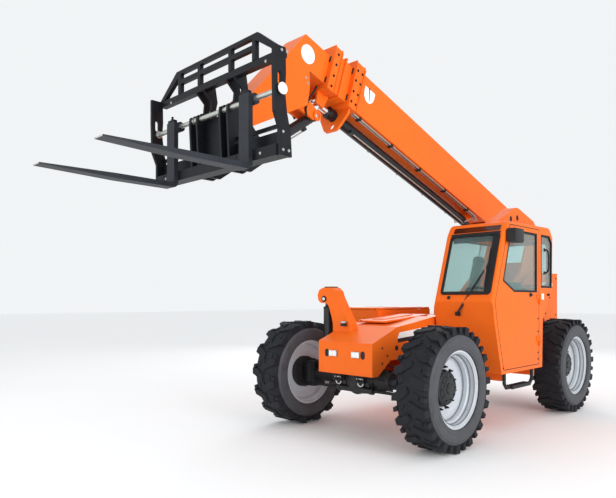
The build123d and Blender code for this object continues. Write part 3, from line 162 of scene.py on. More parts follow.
def material(name, colour, rough=0.4, metal=0.0, vary=0.06, scale=9.0, bump=0.0, bump_scale=300.0,
             dust=0.0, dust_colour=DUST, coat=0.0, shine=0.3, see_through=None):
    """Principled surface with cloudy colour and roughness, fine bumps and dust that thickens lower down."""
    m = bpy.data.materials.new(name)
    m.use_nodes = True
    t = m.node_tree
    t.nodes.clear()
    out = node(t, "ShaderNodeOutputMaterial")
    bsdf = node(t, "ShaderNodeBsdfPrincipled", Metallic=metal)
    bsdf.inputs["Coat Weight"].default_value = coat
    bsdf.inputs["Specular IOR Level"].default_value = shine
    bsdf.inputs["Coat Roughness"].default_value = 0.12
    place = node(t, "ShaderNodeNewGeometry").outputs["Position"]
    cloud = noise(t, place, Scale=scale, Detail=4.0, Roughness=0.6)
    tone = node(t, "ShaderNodeValToRGB")
    dark, light = tone.color_ramp.elements
    dark.position, light.position = 0.3, 0.7
    dark.color = (*[c * (1 - vary) for c in colour], 1)
    light.color = (*[min(1.0, c * (1 + vary)) for c in colour], 1)
    t.links.new(cloud, tone.inputs["Fac"])
    shown = tone.outputs["Color"]
    if dust:
        low = remap(t, coordinate(t, place, "Z"), From_Min=NO_DUST_Z, From_Max=FULL_DUST_Z)
        specks = maths(t, "MULTIPLY", low, noise(t, place, Scale=26.0, Detail=6.0, Roughness=0.7))
        shown = laid_over(t, maths(t, "MULTIPLY", specks, dust), shown, dust_colour)
    t.links.new(shown, bsdf.inputs["Base Color"])
    gloss = remap(t, cloud, To_Min=max(0.02, rough * 0.82), To_Max=min(1.0, rough * 1.2))
    t.links.new(gloss, bsdf.inputs["Roughness"])
    if bump:
        raised = node(t, "ShaderNodeBump", Strength=bump, Distance=0.002)
        t.links.new(noise(t, place, Scale=bump_scale, Detail=3.0), raised.inputs["Height"])
        t.links.new(raised.outputs["Normal"], bsdf.inputs["Normal"])
    surface = bsdf.outputs["BSDF"]
    if see_through:
        surface = see_into(t, surface, see_through)
    t.links.new(surface, out.inputs["Surface"])
    return m


mats = {
    "orange": material("orange_paint", (0.87, 0.15, 0.013), rough=0.36, vary=0.04, scale=2.2, bump=0.03,
                       dust=0.08, coat=0.02, shine=0.1),
    "grey": material("light_grey_paint", (0.6, 0.64, 0.69), rough=0.34, scale=6, bump=0.05, dust=0.22,
                     coat=0.1),
    "dark": material("dark_paint", (0.009, 0.01, 0.013), rough=0.44, vary=0.25, scale=8, bump=0.08,
                     dust=0.06, shine=0.16),
    "fork": material("fork_paint", (0.021, 0.024, 0.031), rough=0.46, vary=0.22, scale=7, bump=0.12,
                     dust=0.05, shine=0.2),
    "tyre": material("tyre_rubber", (0.011, 0.012, 0.016), rough=0.66, vary=0.3, scale=14, bump=0.25,
                     dust=0.07, shine=0.22, dust_colour=ROAD_DUST),
    "sidewall": material("tyre_sidewall", (0.06, 0.062, 0.07), rough=0.52, vary=0.18, scale=10, bump=0.1,
                         dust=0.06, dust_colour=ROAD_DUST),
    "cylinder": material("cylinder_paint", (0.01, 0.012, 0.014), rough=0.32, vary=0.2, scale=10, bump=0.03,
                         coat=0.1),
    "chrome": material("chrome_rod", (0.8, 0.81, 0.82), rough=0.1, metal=1.0, vary=0.03, scale=30),
    "glass": material("tinted_glass", (0.33, 0.45, 0.44), rough=0.04, vary=0.05, scale=3, shine=0.5,
                      see_through=(0.87, 0.96, 0.95)),
    "plastic": material("black_plastic", (0.016, 0.016, 0.018), rough=0.55, vary=0.2, scale=12, bump=0.1),
    "steel": material("steel", (0.5, 0.52, 0.48), rough=0.34, metal=0.85, vary=0.08, scale=18, bump=0.04),
    "cast": material("cast_metal", (0.02, 0.02, 0.023), rough=0.6, metal=0.1, vary=0.3, scale=16, bump=0.35,
                     dust=0.1),
    # The seam finish is painted shade: flat dark grey for thin rings in the rim's step corners, where shadow
    # falls.
    "seam": material("rim_step_painted_shade", (0.17, 0.18, 0.2), rough=0.6, vary=0.2, scale=12),
    # The visor finish is painted shade: a glossy dark red for the roof's sloping front face above the
    # windscreen, which lies in shade.
    "visor": material("roof_visor_glass", (0.06, 0.012, 0.007), rough=0.1, vary=0.25, scale=6, shine=0.5),
    "white": material("white_mark", (0.86, 0.86, 0.84), vary=0.02, scale=5),
    "black": material("black_mark", (0.012, 0.012, 0.014), rough=0.45, vary=0.15),
    "rubber": material("black_rubber", (0.014, 0.014, 0.015), rough=0.75, vary=0.2, scale=20, bump=0.12),
    "lens": material("lamp_lens", (0.85, 0.87, 0.88), rough=0.12, vary=0.03, scale=40, bump=0.2,
                     bump_scale=120),
    "red_lens": material("red_lens", (0.42, 0.012, 0.012), rough=0.15, vary=0.08, scale=60, bump=0.2,
                         bump_scale=140),
    "amber": material("amber_lens", (0.8, 0.28, 0.02), rough=0.18, vary=0.08, scale=60, bump=0.2,
                      bump_scale=140),
    "seat": material("seat_cloth", (0.03, 0.032, 0.036), rough=0.85, vary=0.25, scale=60, bump=0.45,
                     bump_scale=500),
}
slot_material = {
    "orange_paint": "orange", "light_grey_paint": "grey", "dark_paint": "dark", "tyre_rubber": "tyre",
    "cylinder_paint": "cylinder", "chrome_rod": "chrome", "tinted_glass": "glass",
    "black_plastic": "plastic", "steel": "steel", "cast_metal": "cast"}
material_slot = {value: key for key, value in slot_material.items()}
material_slot.update(sidewall="tyre_rubber", seam="light_grey_paint", visor="tinted_glass",
                     white="light_grey_paint", black="dark_paint", rubber="black_plastic",
                     lens="tinted_glass", red_lens="tinted_glass", amber="tinted_glass",
                     seat="black_plastic")
for part in frame["record"]["subparts"]:
    mesh = frame["nodes"][part["node"]].data
    mesh.materials.clear()
    mesh.materials.append(mats[slot_material[part["material_slot"]]])
for part, finish in (("seat", "seat"), ("fork_left", "fork"), ("fork_right", "fork")):
    frame["nodes"][part].data.materials[0] = mats[finish]
LUG_TOP_Z, LUG_BACK_X = 0.7085, X_MID + 1.7    # the tie-down lugs are below and ahead of these


def darker_lugs(m):
    """The frame's own paint, black on the tie-down lugs that hang below the nose."""
    m = m.copy()
    m.name = "frame_paint"
    t = m.node_tree
    base = [n for n in t.nodes if n.type == "BSDF_PRINCIPLED"][0].inputs["Base Color"]
    paint = base.links[0].from_socket
    place = node(t, "ShaderNodeNewGeometry").outputs["Position"]
    low = maths(t, "LESS_THAN", coordinate(t, place, "Z"), LUG_TOP_Z)
    ahead = maths(t, "GREATER_THAN", coordinate(t, place, "X"), LUG_BACK_X)
    lugs = maths(t, "MULTIPLY", low, ahead)
    t.links.new(laid_over(t, lugs, paint, (0.016, 0.017, 0.02, 1)), base)
    return m


frame["nodes"]["frame"].data.materials[0] = darker_lugs(mats["orange"])


# ------------------------------------------------------------------ shaping
class Piece:
    """One named mesh that grows from simple solids and then rides on a body of the frame."""

    def __init__(self, name, finish, body="chassis"):
        self.name, self.body, self.finish = name, body, finish
        self.mesh = bmesh.new()

    def add(self, verts, faces):
        made = [self.mesh.verts.new(v) for v in verts]
        return [self.mesh.faces.new([made[i] for i in face]) for face in faces]

    def box(self, centre, dims, soft=0.0, turn=None):
        """Box with optional softened edges."""
        place = Matrix.Translation(centre) @ (turn or Matrix.Identity(4))
        hx, hy, hz = [d / 2 for d in dims]
        verts = [place @ Vector((sx * hx, sy * hy, sz * hz))
                 for sx in (-1, 1) for sy in (-1, 1) for sz in (-1, 1)]
        faces = ((0, 1, 3, 2), (4, 6, 7, 5), (0, 4, 5, 1), (2, 3, 7, 6), (0, 2, 6, 4), (1, 5, 7, 3))
        new = self.add(verts, faces)
        if soft:
            edges = {e for f in new for e in f.edges}
            bmesh.ops.bevel(self.mesh, geom=list(edges), offset=min(soft, min(dims) * 0.45), segments=2,
                            profile=0.7, affect="EDGES")

    def plate(self, outline, rise):
        """Flat plate: its outline is a list of points in space, raised by this vector."""
        n = len(outline)
        faces = [tuple(range(n))[::-1], tuple(range(n, 2 * n))]
        faces += [(i, (i + 1) % n, n + (i + 1) % n, n + i) for i in range(n)]
        self.add(outline + [p + rise for p in outline], faces)

    def lathe(self, centre, axis, profile, steps=32):
        """Turned solid: profile rows are radius and height along the axis. A ring ends on its first row."""
        place = Matrix.Translation(centre) @ turn_to(axis)
        verts, faces, rings = [], [], []
        for radius, height in profile:
            count = steps if radius else 1
            rings.append(tuple(range(len(verts), len(verts) + count)))
            verts += [place @ Vector((radius * cos(a), radius * sin(a), height)) for a in spread(count)]
        for low, high in zip(rings, rings[1:]):
            for k in range(steps):
                face = (low[k % len(low)], low[(k + 1) % len(low)],
                        high[(k + 1) % len(high)], high[k % len(high)])
                face = tuple(dict.fromkeys(face))
                if len(face) > 2:
                    faces.append(face)
        if profile[0] != profile[-1]:
            faces += [ring for ring in (rings[0][::-1], rings[-1]) if len(ring) > 1]
        self.add(verts, faces)

    def bolt(self, centre, axis, r=0.012, h=0.009):
        """Hexagon head on its washer."""
        self.lathe(centre, axis, [(r * 1.35, -0.001), (r * 1.35, 0.002), (r * 1.3, 0.0025)], steps=14)
        self.lathe(centre, axis, [(r, 0.002), (r, h * 0.85), (r * 0.82, h), (0, h)], steps=6)

    def tube(self, points, radius, steps=12):
        """Round bar swept along a smoothed run of points."""
        run = smooth_run(points)
        verts, faces = [], []
        side = (run[1] - run[0]).normalized().orthogonal().normalized()
        for i, p in enumerate(run):
            ahead = (run[min(i + 1, len(run) - 1)] - run[max(i - 1, 0)]).normalized()
            side = (side - ahead * side.dot(ahead)).normalized()
            verts += [p + spoke(a, side, ahead.cross(side)) * radius for a in spread(steps)]
        for i in range(len(run) - 1):
            for k in range(steps):
                a, b = i * steps + k, i * steps + (k + 1) % steps
                faces.append((a, b, b + steps, a + steps))
        faces.append(tuple(reversed(range(steps))))
        faces.append(tuple(range(len(verts) - steps, len(verts))))
        self.add(verts, faces)

    def done(self, sharp=35):
        """Closes the mesh. Edges sharper than this angle stay crisp."""
        bmesh.ops.recalc_face_normals(self.mesh, faces=self.mesh.faces)
        data = bpy.data.meshes.new(self.name)
        self.mesh.to_mesh(data)
        self.mesh.free()
        data.shade_smooth()
        data.set_sharp_from_angle(angle=radians(sharp))
        data.materials.append(mats[self.finish])
        obj = bpy.data.objects.new(self.name, data)
        bpy.context.scene.collection.objects.link(obj)
        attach(obj, self.body)


def smooth_run(points, steps=6):
    """Points along a Catmull-Rom curve through these."""
    if len(points) < 3:
        return points
    run = []
    ends = [points[0] * 2 - points[1]] + points + [points[-1] * 2 - points[-2]]
    for a, b, c, d in zip(ends, ends[1:], ends[2:], ends[3:]):
        for k in range(steps):
            s = k / steps
            run.append(0.5 * ((2 * b) + (c - a) * s + (2 * a - 5 * b + 4 * c - d) * s * s
                              + (3 * b - a - 3 * c + d) * s ** 3))
    return run + [points[-1]]


def rounded(half_w, half_h, r, count=5):
    """Outline of a rounded rectangle round (0, 0)."""
    run = []
    for cx, cy, start in ((1, 1, 0), (-1, 1, 1), (-1, -1, 2), (1, -1, 3)):
        for k in range(count + 1):
            a = (start + k / count) * pi / 2
            run.append((cx * (half_w - r) + r * cos(a), cy * (half_h - r) + r * sin(a)))
    return run


def shrunk(outline, amount):
    """Outline moved inwards by an amount, corner by corner."""
    n, out = len(outline), []
    turn = sum(p[0] * q[1] - q[0] * p[1] for p, q in zip(outline, outline[1:] + outline[:1]))
    way = 1 if turn > 0 else -1
    for i in range(n):
        p, q, r = (Vector(outline[k % n]) for k in (i - 1, i, i + 1))
        a, b = (q - p).normalized(), (r - q).normalized()
        na, nb = Vector((-a.y, a.x)) * way, Vector((-b.y, b.x)) * way
        out.append(tuple(q + (na + nb) * (amount / (1 + na.dot(nb)))))
    return out


def ring_plate(piece, outer, inner, place, rise):
    """Closed band between two outlines of equal length, raised by a vector."""
    n = len(outer)
    low = [place(*p) for p in outer] + [place(*p) for p in inner]
    faces = []
    for i in range(n):
        j = (i + 1) % n
        faces += [(i, j, n + j, n + i), (2 * n + i, 3 * n + i, 3 * n + j, 2 * n + j),
                  (i, 2 * n + i, 2 * n + j, j), (n + i, n + j, 3 * n + j, 3 * n + i)]
    piece.add(low + [p + rise for p in low], faces)


def window_seal(piece, outline, y, rise):
    """Rubber round a window whose outline is in x and z."""
    ring_plate(piece, shrunk(outline, -0.008), shrunk(outline, 0.014), lambda x, z: at(x, y, z), rise)


# ------------------------------------------------------------------ stripes on the sides
body_stripe = [(-2.35, 1.79), (-1.83, 1.79), (-1.25, 1.455), (-0.8, 1.4),
               (-0.8, 1.33), (-1.43, 1.38), (-1.89, 1.48), (-2.02, 1.71), (-2.35, 1.74)]
white = Piece("side_stripes_white", "white")
black = Piece("side_stripes_black", "black")
for side in BOTH:
    body_y, nose_y = side * 0.5603, side * 0.3903
    white.plate([at(x, body_y, z) for x, z in body_stripe], Y * side * 0.0012)
    black.plate([at(x - 0.01, body_y, z - 0.045) for x, z in body_stripe[:4]]
                + [at(x, body_y, z - 0.005) for x, z in body_stripe[:4][::-1]], Y * side * 0.0006)
    for stripe, rise, outline in (
            (white, 0.0012, ((1.396, 1.168), (0.6, 1.236), (0.6, 1.157), (1.439, 1.1))),
            (black, 0.0006, ((1.43, 1.101), (0.6, 1.158), (0.6, 1.113), (1.425, 1.056)))):
        stripe.plate([at(x, nose_y, z) for x, z in outline], Y * side * rise)
white.done()
black.done()

# ------------------------------------------------------------------ wheels
corners = (("fl", X_FRONT, 1), ("fr", X_FRONT, -1), ("rl", X_REAR, 1), ("rr", X_REAR, -1))
wall_rows = [(0.3965, 0.172), (0.3965, 0.1875), (0.403, 0.1915), (0.41, 0.189), (0.418, 0.1895),
             (0.424, 0.1945), (0.432, 0.196), (0.437, 0.1938), (0.455, 0.1968), (0.475, 0.198),
             (0.495, 0.197), (0.506, 0.195), (0.51, 0.1972), (0.517, 0.1962), (0.521, 0.192),
             (0.536, 0.1868), (0.5485, 0.179), (0.5485, 0.172), (0.3965, 0.172)]
half_tread = [(0.56, 0.1795), (0.6, 0.15), (0.6125, 0.12), (0.6165, 0.06)]
tread_rows = ([(r, -across) for r, across in half_tread] + [(0.6175, 0.0)] + half_tread[::-1]
              + [(0.555, 0.1), (0.555, -0.1), (0.56, -0.1795)])
# each shoulder block: radius of its foot, then its corners across and round the tyre
shoulder_blocks = ((0.556, ((0.136, 0.0), (0.136, 0.044), (0.1845, 0.06), (0.1845, 0.014))),
                   (0.59, ((0.06, -0.034), (0.06, 0.006), (0.118, 0.04), (0.118, -0.006))))
LUGS = 15                               # the tyre's own lugs on each of its hands
BLOCK_TOP, VALVE_ANGLE = 0.6225, 1.1
for corner, x_axle, side in corners:
    body = "wheel_" + corner
    middle = Vector((x_axle, side * WHEEL_Y, AXLE_Z))
    out = Y * side

    def around(radius, count, offset, start=0.0):
        """Points of a ring on the wheel, at an offset from its middle plane."""
        return [middle + out * offset + X * radius * cos(a) + Z * radius * sin(a)
                for a in spread(count, start)]

    walls = Piece("tyre_sidewalls_" + corner, "sidewall", body)
    for face in BOTH:
        walls.lathe(middle, out * face, wall_rows, steps=72)
    walls.done(60)
    # Thin dark rings in the corners of the rim's steps: painted shade standing in for the shadow that falls
    # in the steps.
    seams = Piece("rim_step_shade_rings_" + corner, "seam", body)
    for r, across in ((0.354, 0.1495), (0.35, 0.1015), (0.324, 0.0355)):
        seams.lathe(middle, out, [(r, across - 0.001), (r, across + 0.007), (r - 0.004, across + 0.005),
                                  (r - 0.007, across - 0.001), (r, across - 0.001)], steps=72)
    seams.done(60)
    tread = Piece("tyre_tread_" + corner, "tyre", body)
    tread.lathe(middle, out, tread_rows, steps=90)
    for k in range(2 * LUGS):
        radial = spoke(2 * pi * (k + 0.25) / (2 * LUGS))
        turn = axes_turn(radial, radial.cross(out), out)
        tread.box(middle + radial * 0.62, (0.016, 0.03, 0.018), 0.003, turn)
    tread.done(40)
    blocks = Piece("tyre_shoulder_blocks_" + corner, "tyre", body)
    for hand in BOTH:
        for k in range(LUGS):   # two low blocks between each pair of the tyre's own lugs
            a = 2 * pi * (k + (0.75 if hand > 0 else 0.25)) / LUGS
            up, along = spoke(a, Z, X), spoke(-a)
            for foot, outline in shoulder_blocks:
                blocks.plate([middle + up * foot + Y * hand * across + along * run
                              for across, run in outline], up * (BLOCK_TOP - foot))
    blocks.done(40)
    nuts = Piece("wheel_nuts_" + corner, "dark", body)
    for p in around(0.217, 12, -0.0195, 0.2):
        nuts.lathe(p, out, [(0.019, -0.004), (0.019, 0.004), (0.017, 0.006)], steps=12)
        nuts.lathe(p, out, [(0.014, 0.004), (0.014, 0.022), (0.0085, 0.024), (0.0085, 0.04), (0.006, 0.043),
                            (0, 0.043)], steps=6)
    nuts.done()
    cover = Piece("planetary_cover_" + corner, "cylinder", body)
    cover.lathe(middle, out, [(0.146, 0.052), (0.146, 0.0585), (0.138, 0.062), (0.1, 0.064), (0.096, 0.07),
                              (0.062, 0.072), (0.058, 0.08), (0.03, 0.084), (0, 0.084)], steps=40)
    for p in around(0.122, 10, 0.0625):
        cover.bolt(p, out, 0.0085, 0.01)
    for p in around(0.046, 4, 0.081, 0.6):
        cover.bolt(p, out, 0.006, 0.006)
    cover.done()
    ribs = Piece("hub_ribs_" + corner, "dark", body)
    for a in spread(10, 0.3):
        radial = spoke(a)
        turn = axes_turn(radial, radial.cross(out), out)
        ribs.box(middle + out * 0.006 + radial * 0.176, (0.022, 0.014, 0.034), 0.003, turn)
    ribs.done()
    valve = Piece("valve_stem_" + corner, "black", body)
    radial = spoke(VALVE_ANGLE)
    p = middle + out * 0.04 + radial * 0.309
    valve.tube([p, p - radial * 0.018 + out * 0.006, p - radial * 0.026 + out * 0.03,
                p - radial * 0.027 + out * 0.046], 0.0042, 8)
    valve.done()

# ------------------------------------------------------------------ axles
for name, x_axle, ahead in (("front", X_FRONT, 1), ("rear", X_REAR, -1)):
    fore, axle = X * ahead, Vector((x_axle, 0, AXLE_Z))
    housing = Piece(name + "_differential_cover", "cast")
    housing.lathe(axle, fore, [(0.15, 0.09), (0.168, 0.105), (0.168, 0.128), (0.15, 0.132), (0.128, 0.17),
                               (0.09, 0.196), (0.04, 0.204), (0, 0.204)], steps=36)
    for a in spread(12):
        housing.bolt(axle + fore * 0.131 + spoke(a, Y) * 0.158, fore, 0.008, 0.009)
    for s in BOTH:
        housing.lathe(axle + Y * s * 0.17, Y * s,
                      [(0.15, 0.0), (0.128, 0.1), (0.104, 0.2), (0.092, 0.24), (0.086, 0.24)], steps=28)
        for a in spread(6, 0.4):
            turn = Matrix.Rotation(a, 4, "Y")
            housing.box(axle + Y * s * 0.29 + turn @ (Z * 0.118), (0.012, 0.16, 0.03), 0.003, turn)
    housing.done()
    drive = Piece(name + "_drive_shaft", "dark")
    drive.lathe(axle - fore * 0.16, -fore,
                [(0.085, 0.0), (0.07, 0.05), (0.06, 0.1), (0.072, 0.105), (0.072, 0.125), (0.036, 0.13),
                 (0.036, 0.62), (0.06, 0.63), (0.06, 0.66), (0, 0.66)], steps=24)
    drive.done()
    steer = Piece(name + "_steering_cylinder", "cylinder")
    bar = axle + fore * 0.15 - Z * 0.105
    steer.lathe(bar - Y * 0.26, Y,
                [(0.036, 0.0), (0.041, 0.006), (0.041, 0.05), (0.036, 0.054), (0.036, 0.466), (0.041, 0.47),
                 (0.041, 0.514), (0.036, 0.52)], steps=24)
    for s in BOTH:
        steer.box(bar + Y * s * 0.17 + Z * 0.05 - fore * 0.03, (0.06, 0.05, 0.07), 0.006)
    steer.done()
    rods = Piece(name + "_steering_rods", "dark")
    for s in BOTH:
        rods.lathe(bar + Y * s * 0.26, Y * s, [(0.017, 0.0), (0.017, 0.3), (0, 0.302)], steps=16)
    rods.done()
    hoses = Piece(name + "_axle_hoses", "rubber")
    for s in BOTH:
        hoses.tube([bar + Y * s * 0.23 + Z * 0.036, bar + Y * s * 0.23 + Z * 0.09 - fore * 0.02,
                    axle + Y * s * 0.16 + Z * 0.16 - fore * 0.02,
                    axle + Y * s * 0.1 + Z * 0.235 - fore * 0.1], 0.009)
        hoses.tube([axle + Y * s * 0.74 + Z * 0.088, axle + Y * s * 0.52 + Z * 0.14,
                    axle + Y * s * 0.22 + Z * 0.19 - fore * 0.02,
                    axle + Y * s * 0.14 + Z * 0.235 - fore * 0.06], 0.007)
    hoses.done()

# kingpin caps with their bolts, on the chassis's yokes
caps = Piece("kingpin_caps", "dark")
for corner, x_axle, side in corners:
    for up in BOTH:
        p = Vector((x_axle, side * KINGPIN_Y, AXLE_Z + up * 0.153))
        caps.lathe(p, Z * up, [(0.052, -0.002), (0.052, 0.008), (0.04, 0.013), (0.014, 0.015), (0, 0.015)],
                   steps=24)
        for a in spread(4, pi / 4):
            caps.bolt(p + spoke(a, X, Y) * 0.04 + Z * up * 0.01, Z * up, 0.006, 0.008)
caps.done()

# ------------------------------------------------------------------ nose
lenses = Piece("lamp_lenses", "lens")
bezels = Piece("lamp_bezels", "white")
ovals = Piece("nose_oval_openings", "black")
shackles = Piece("tie_down_shackles", "steel")
lamp_z, slot_y = 0.935, 0.262
for side in BOTH:
    lamp = at(1.8925, side * 0.165, lamp_z)
    for part in BOTH:
        lenses.box(lamp + Y * part * 0.0265 + X * 0.002, (0.006, 0.044, 0.048), 0.002)
        bezels.box(lamp + Z * part * 0.0285, (0.004, 0.112, 0.006), 0.001)
        bezels.box(lamp + Y * part * 0.0535, (0.004, 0.006, 0.062), 0.001)
    bezels.box(lamp, (0.004, 0.008, 0.062), 0.001)
    ovals.plate([at(1.88, side * slot_y + 0.0188 * cos(a),
                    lamp_z + (0.013 if sin(a) >= 0 else -0.013) + 0.0188 * sin(a)) for a in spread(24)],
                -X * 0.004)
    ring_plate(ovals, rounded(0.0275, 0.044, 0.027), rounded(0.0186, 0.0316, 0.018),
               lambda y, z: at(1.8812, side * slot_y + y, lamp_z + z), X * 0.002)
    ovals.lathe(at(1.449, side * 0.386, 0.998), Y * side, [(0.0298, 0.0), (0.0298, 0.0035), (0, 0.0035)],
                steps=28)
    for x, z in ((1.708, 1.011), (1.6175, 0.923), (1.708, 0.846)):
        ovals.bolt(at(x, side * 0.39, z), Y * side, 0.009, 0.007)
    lug = at(1.795, side * 0.16, 0.665)
    shackles.tube([lug + Y * 0.036 + Z * 0.004, lug + Y * 0.04 - Z * 0.03, lug + Y * 0.03 - Z * 0.066,
                   lug - Z * 0.08, lug - Y * 0.03 - Z * 0.066, lug - Y * 0.04 - Z * 0.03,
                   lug - Y * 0.036 + Z * 0.004], 0.0085, 10)
    shackles.lathe(lug - Y * 0.05, Y,
                   [(0.016, 0.0), (0.016, 0.014), (0.0105, 0.014), (0.0105, 0.086), (0.016, 0.086),
                    (0.016, 0.094), (0, 0.094)], steps=16)
for piece in (lenses, bezels, ovals, shackles):
    piece.done()
bonnet = Piece("nose_seams", "orange")
for z, height in ((1.05, 0.01), (0.722, 0.012)):
    bonnet.box(at(1.8815, 0, z), (0.004, 0.74, height), 0.0015)
hood_slope = Matrix.Rotation(0.075, 4, "Y")
bonnet.box(at(0.9, -0.06, 1.309), (0.86, 0.42, 0.022), 0.008, hood_slope)
bonnet.box(at(0.9, -0.06, 1.322), (0.6, 0.16, 0.016), 0.007, hood_slope)
low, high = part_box("engine_hood")
bonnet.box(((low[0] + high[0]) / 2, -0.384, 1.325), (high[0] - low[0], 0.008, 0.156), 0.002)
bonnet.done()
cap = Piece("filler_cap", "black")
cap.lathe(at(1.655, -0.213, 1.228), Z, [(0.034, 0.0), (0.034, 0.024), (0.029, 0.028), (0.029, 0.034)],
          steps=28)
cap.box(at(1.628, -0.213, 1.236), (0.03, 0.05, 0.014), 0.003)
cap.done()
cap = Piece("filler_cap_top", "steel")
cap.lathe(at(1.655, -0.213, 1.262), Z,
          [(0.036, 0.0), (0.038, 0.004), (0.038, 0.018), (0.03, 0.024), (0, 0.026)], steps=28)
cap.done()

# ------------------------------------------------------------------ levelling horn and cylinder
pad = Piece("horn_pad", "rubber")
pad.box(at(LEVEL_X, -0.5, 1.6835), (0.12, 0.115, 0.012), 0.004)
pad.done()
pins = Piece("level_pin_caps", "dark")
shine = Piece("level_pin_ends", "chrome")
for fore in BOTH:
    p = at(LEVEL_X + fore * 0.07, LEVEL_Y, 1.542)
    pins.lathe(p, X * fore, [(0.037, -0.001), (0.037, 0.007), (0.03, 0.01), (0.02, 0.01)], steps=28)
    shine.lathe(p + X * fore * 0.008, X * fore, [(0.0205, 0.0), (0.0205, 0.006), (0.016, 0.01), (0, 0.011)],
                steps=24)
pins.done()
shine.done()
rings = Piece("level_cylinder_rings", "cylinder")
rings.lathe(at(LEVEL_X, LEVEL_Y, 0.96), Z, [(0.0563, 0.0), (0.063, 0.002), (0.063, 0.04), (0.0563, 0.046)],
            steps=32)
rings.lathe(at(LEVEL_X, LEVEL_Y, 1.425), Z,
            [(0.0563, 0.0), (0.06, 0.004), (0.06, 0.016), (0.05, 0.024), (0.036, 0.034)], steps=32)
rings.box(at(LEVEL_X, -0.49, 1.4), (0.034, 0.03, 0.034), 0.004)
rings.done()
hose = Piece("level_hose", "rubber")
hose.tube([at(LEVEL_X, -0.474, 1.4), at(1.545, -0.43, 1.392), at(1.5, -0.418, 1.3), at(1.465, -0.412, 1.2),
           at(1.44, -0.4, 1.12)], 0.0085)
hose.tube([at(LEVEL_X, -0.492, 1.0), at(1.52, -0.455, 1.01), at(1.48, -0.425, 1.06), at(1.45, -0.4, 1.08)],
          0.0085)
hose.done()

# ------------------------------------------------------------------ cab
SLOPE = Vector((-0.282, 0, 0.805)).normalized()
SQUARE = Vector((SLOPE.z, 0, -SLOPE.x))
LEAN = axes_turn(SQUARE, Y, SLOPE)
sill = at(0.752, 0.81, 1.51)


def on_shield(y, up, out=0.0):
    """Point on the windscreen's plane: y from its middle, height up the slope from the sill."""
    return sill + Y * y + SLOPE * up + SQUARE * out


seals = Piece("cab_window_seals", "rubber")
ring_plate(seals, rounded(0.3205, 0.379, 0.046), rounded(0.296, 0.352, 0.03),
           lambda a, b: on_shield(a, 0.463 + b, -0.016), SQUARE * 0.021)
seals.box(on_shield(0, 0.104, 0.004), (0.02, 0.6, 0.034), 0.004, LEAN)
seals.box(on_shield(0.264, 0.463, -0.004), (0.006, 0.066, 0.705), 0.002, LEAN)
ring_plate(seals, rounded(0.306, 0.286, 0.046), rounded(0.288, 0.268, 0.034),
           lambda a, b: at(-0.8815, SEAT_Y + a, 1.99 + b), X * 0.024)
quarter = [(-0.826, 1.69), (-0.51, 1.69), (-0.51, 2.34), (-0.76, 2.34), (-0.834, 2.255)]
door_window = [(-0.38, 1.63), (0.23, 1.63), (0.505, 1.75), (0.34, 2.25), (0.29, 2.34), (-0.38, 2.34)]
inner_window = [(-0.76, 1.55), (0.64, 1.55), (0.4, 2.27), (-0.76, 2.27)]
window_seal(seals, quarter, CAB_SIDE, -Y * 0.02)
window_seal(seals, inner_window, 0.4195, Y * 0.02)
seals.done()
seals = Piece("door_window_seal", "rubber", "door")
window_seal(seals, door_window, 1.1715, -Y * 0.02)
seals.done()

header = Piece("cab_header_trim", "black")
header.box(on_shield(0, 0.8, -0.05), (0.012, 0.6, 0.085), 0.003, LEAN)
header.box(on_shield(0, 0.8445, 0.002), (0.008, 0.63, 0.024), 0.003, LEAN)
header.done()
# A sheet of painted shade laid on the roof's sloping front face above the windscreen.
visor = Piece("roof_visor", "visor")
brow = (at(0.39, 0, 2.439) - at(0.47, 0, 2.315)).normalized()
brow_out = Y.cross(brow)
visor.plate([at(0.47, 0.812 + a, 2.315) + brow * (0.052 + b) + brow_out * 0.0008
             for a, b in rounded(0.3, 0.038, 0.02)], brow_out * 0.002)
visor.done()
door_line = [(-0.44, 0.74), (0.485, 0.74), (0.635, 1.25), (0.69, 1.51), (0.41, 2.27), (0.33, 2.395),
             (-0.44, 2.395)]
seam = Piece("door_frame_seal", "rubber")
ring_plate(seam, shrunk(door_line, -0.0085), shrunk(door_line, -0.0012), lambda a, b: at(a, 1.1707, b),
           -Y * 0.012)
seam.done()

wiper = Piece("wiper_arm", "black")
pivot = at(0.731, 0.731, 1.372)
tip = at(0.647, 1.02, 1.868)
wiper.box(pivot + X * 0.006, (0.034, 0.056, 0.048), 0.006)
wiper.lathe(pivot + X * 0.02, X, [(0.017, 0.0), (0.017, 0.016), (0.011, 0.021), (0, 0.022)], steps=18)
along = (tip - pivot).normalized()
run = [pivot + X * 0.03, pivot + X * 0.034 + along * 0.08, pivot + X * 0.03 + along * 0.3, tip + X * 0.01]
wiper.tube(run, 0.0085, 8)
wiper.tube([pivot + X * 0.026 + Y * 0.022, pivot + X * 0.032 + Y * 0.02 + along * 0.08,
            pivot + X * 0.028 + Y * 0.018 + along * 0.3, tip + X * 0.008 + Y * 0.01 - along * 0.02], 0.0045,
           8)
blade_low, blade_high = on_shield(0.235, 0.175, 0.016), on_shield(0.235, 0.64, 0.016)
blade_mid = (blade_low + blade_high) / 2
wiper.tube([blade_low, blade_mid, blade_high], 0.006, 6)
wiper.box(blade_mid + SQUARE * 0.008, (0.014, 0.018, 0.06), 0.003, LEAN)
wiper.done()
plug = Piece("cab_front_plug", "black")
plug.lathe(on_shield(-0.197, 0.048, -0.001), SQUARE,
           [(0.022, 0.0), (0.022, 0.008), (0.014, 0.012), (0, 0.013)], steps=20)
plug.done()

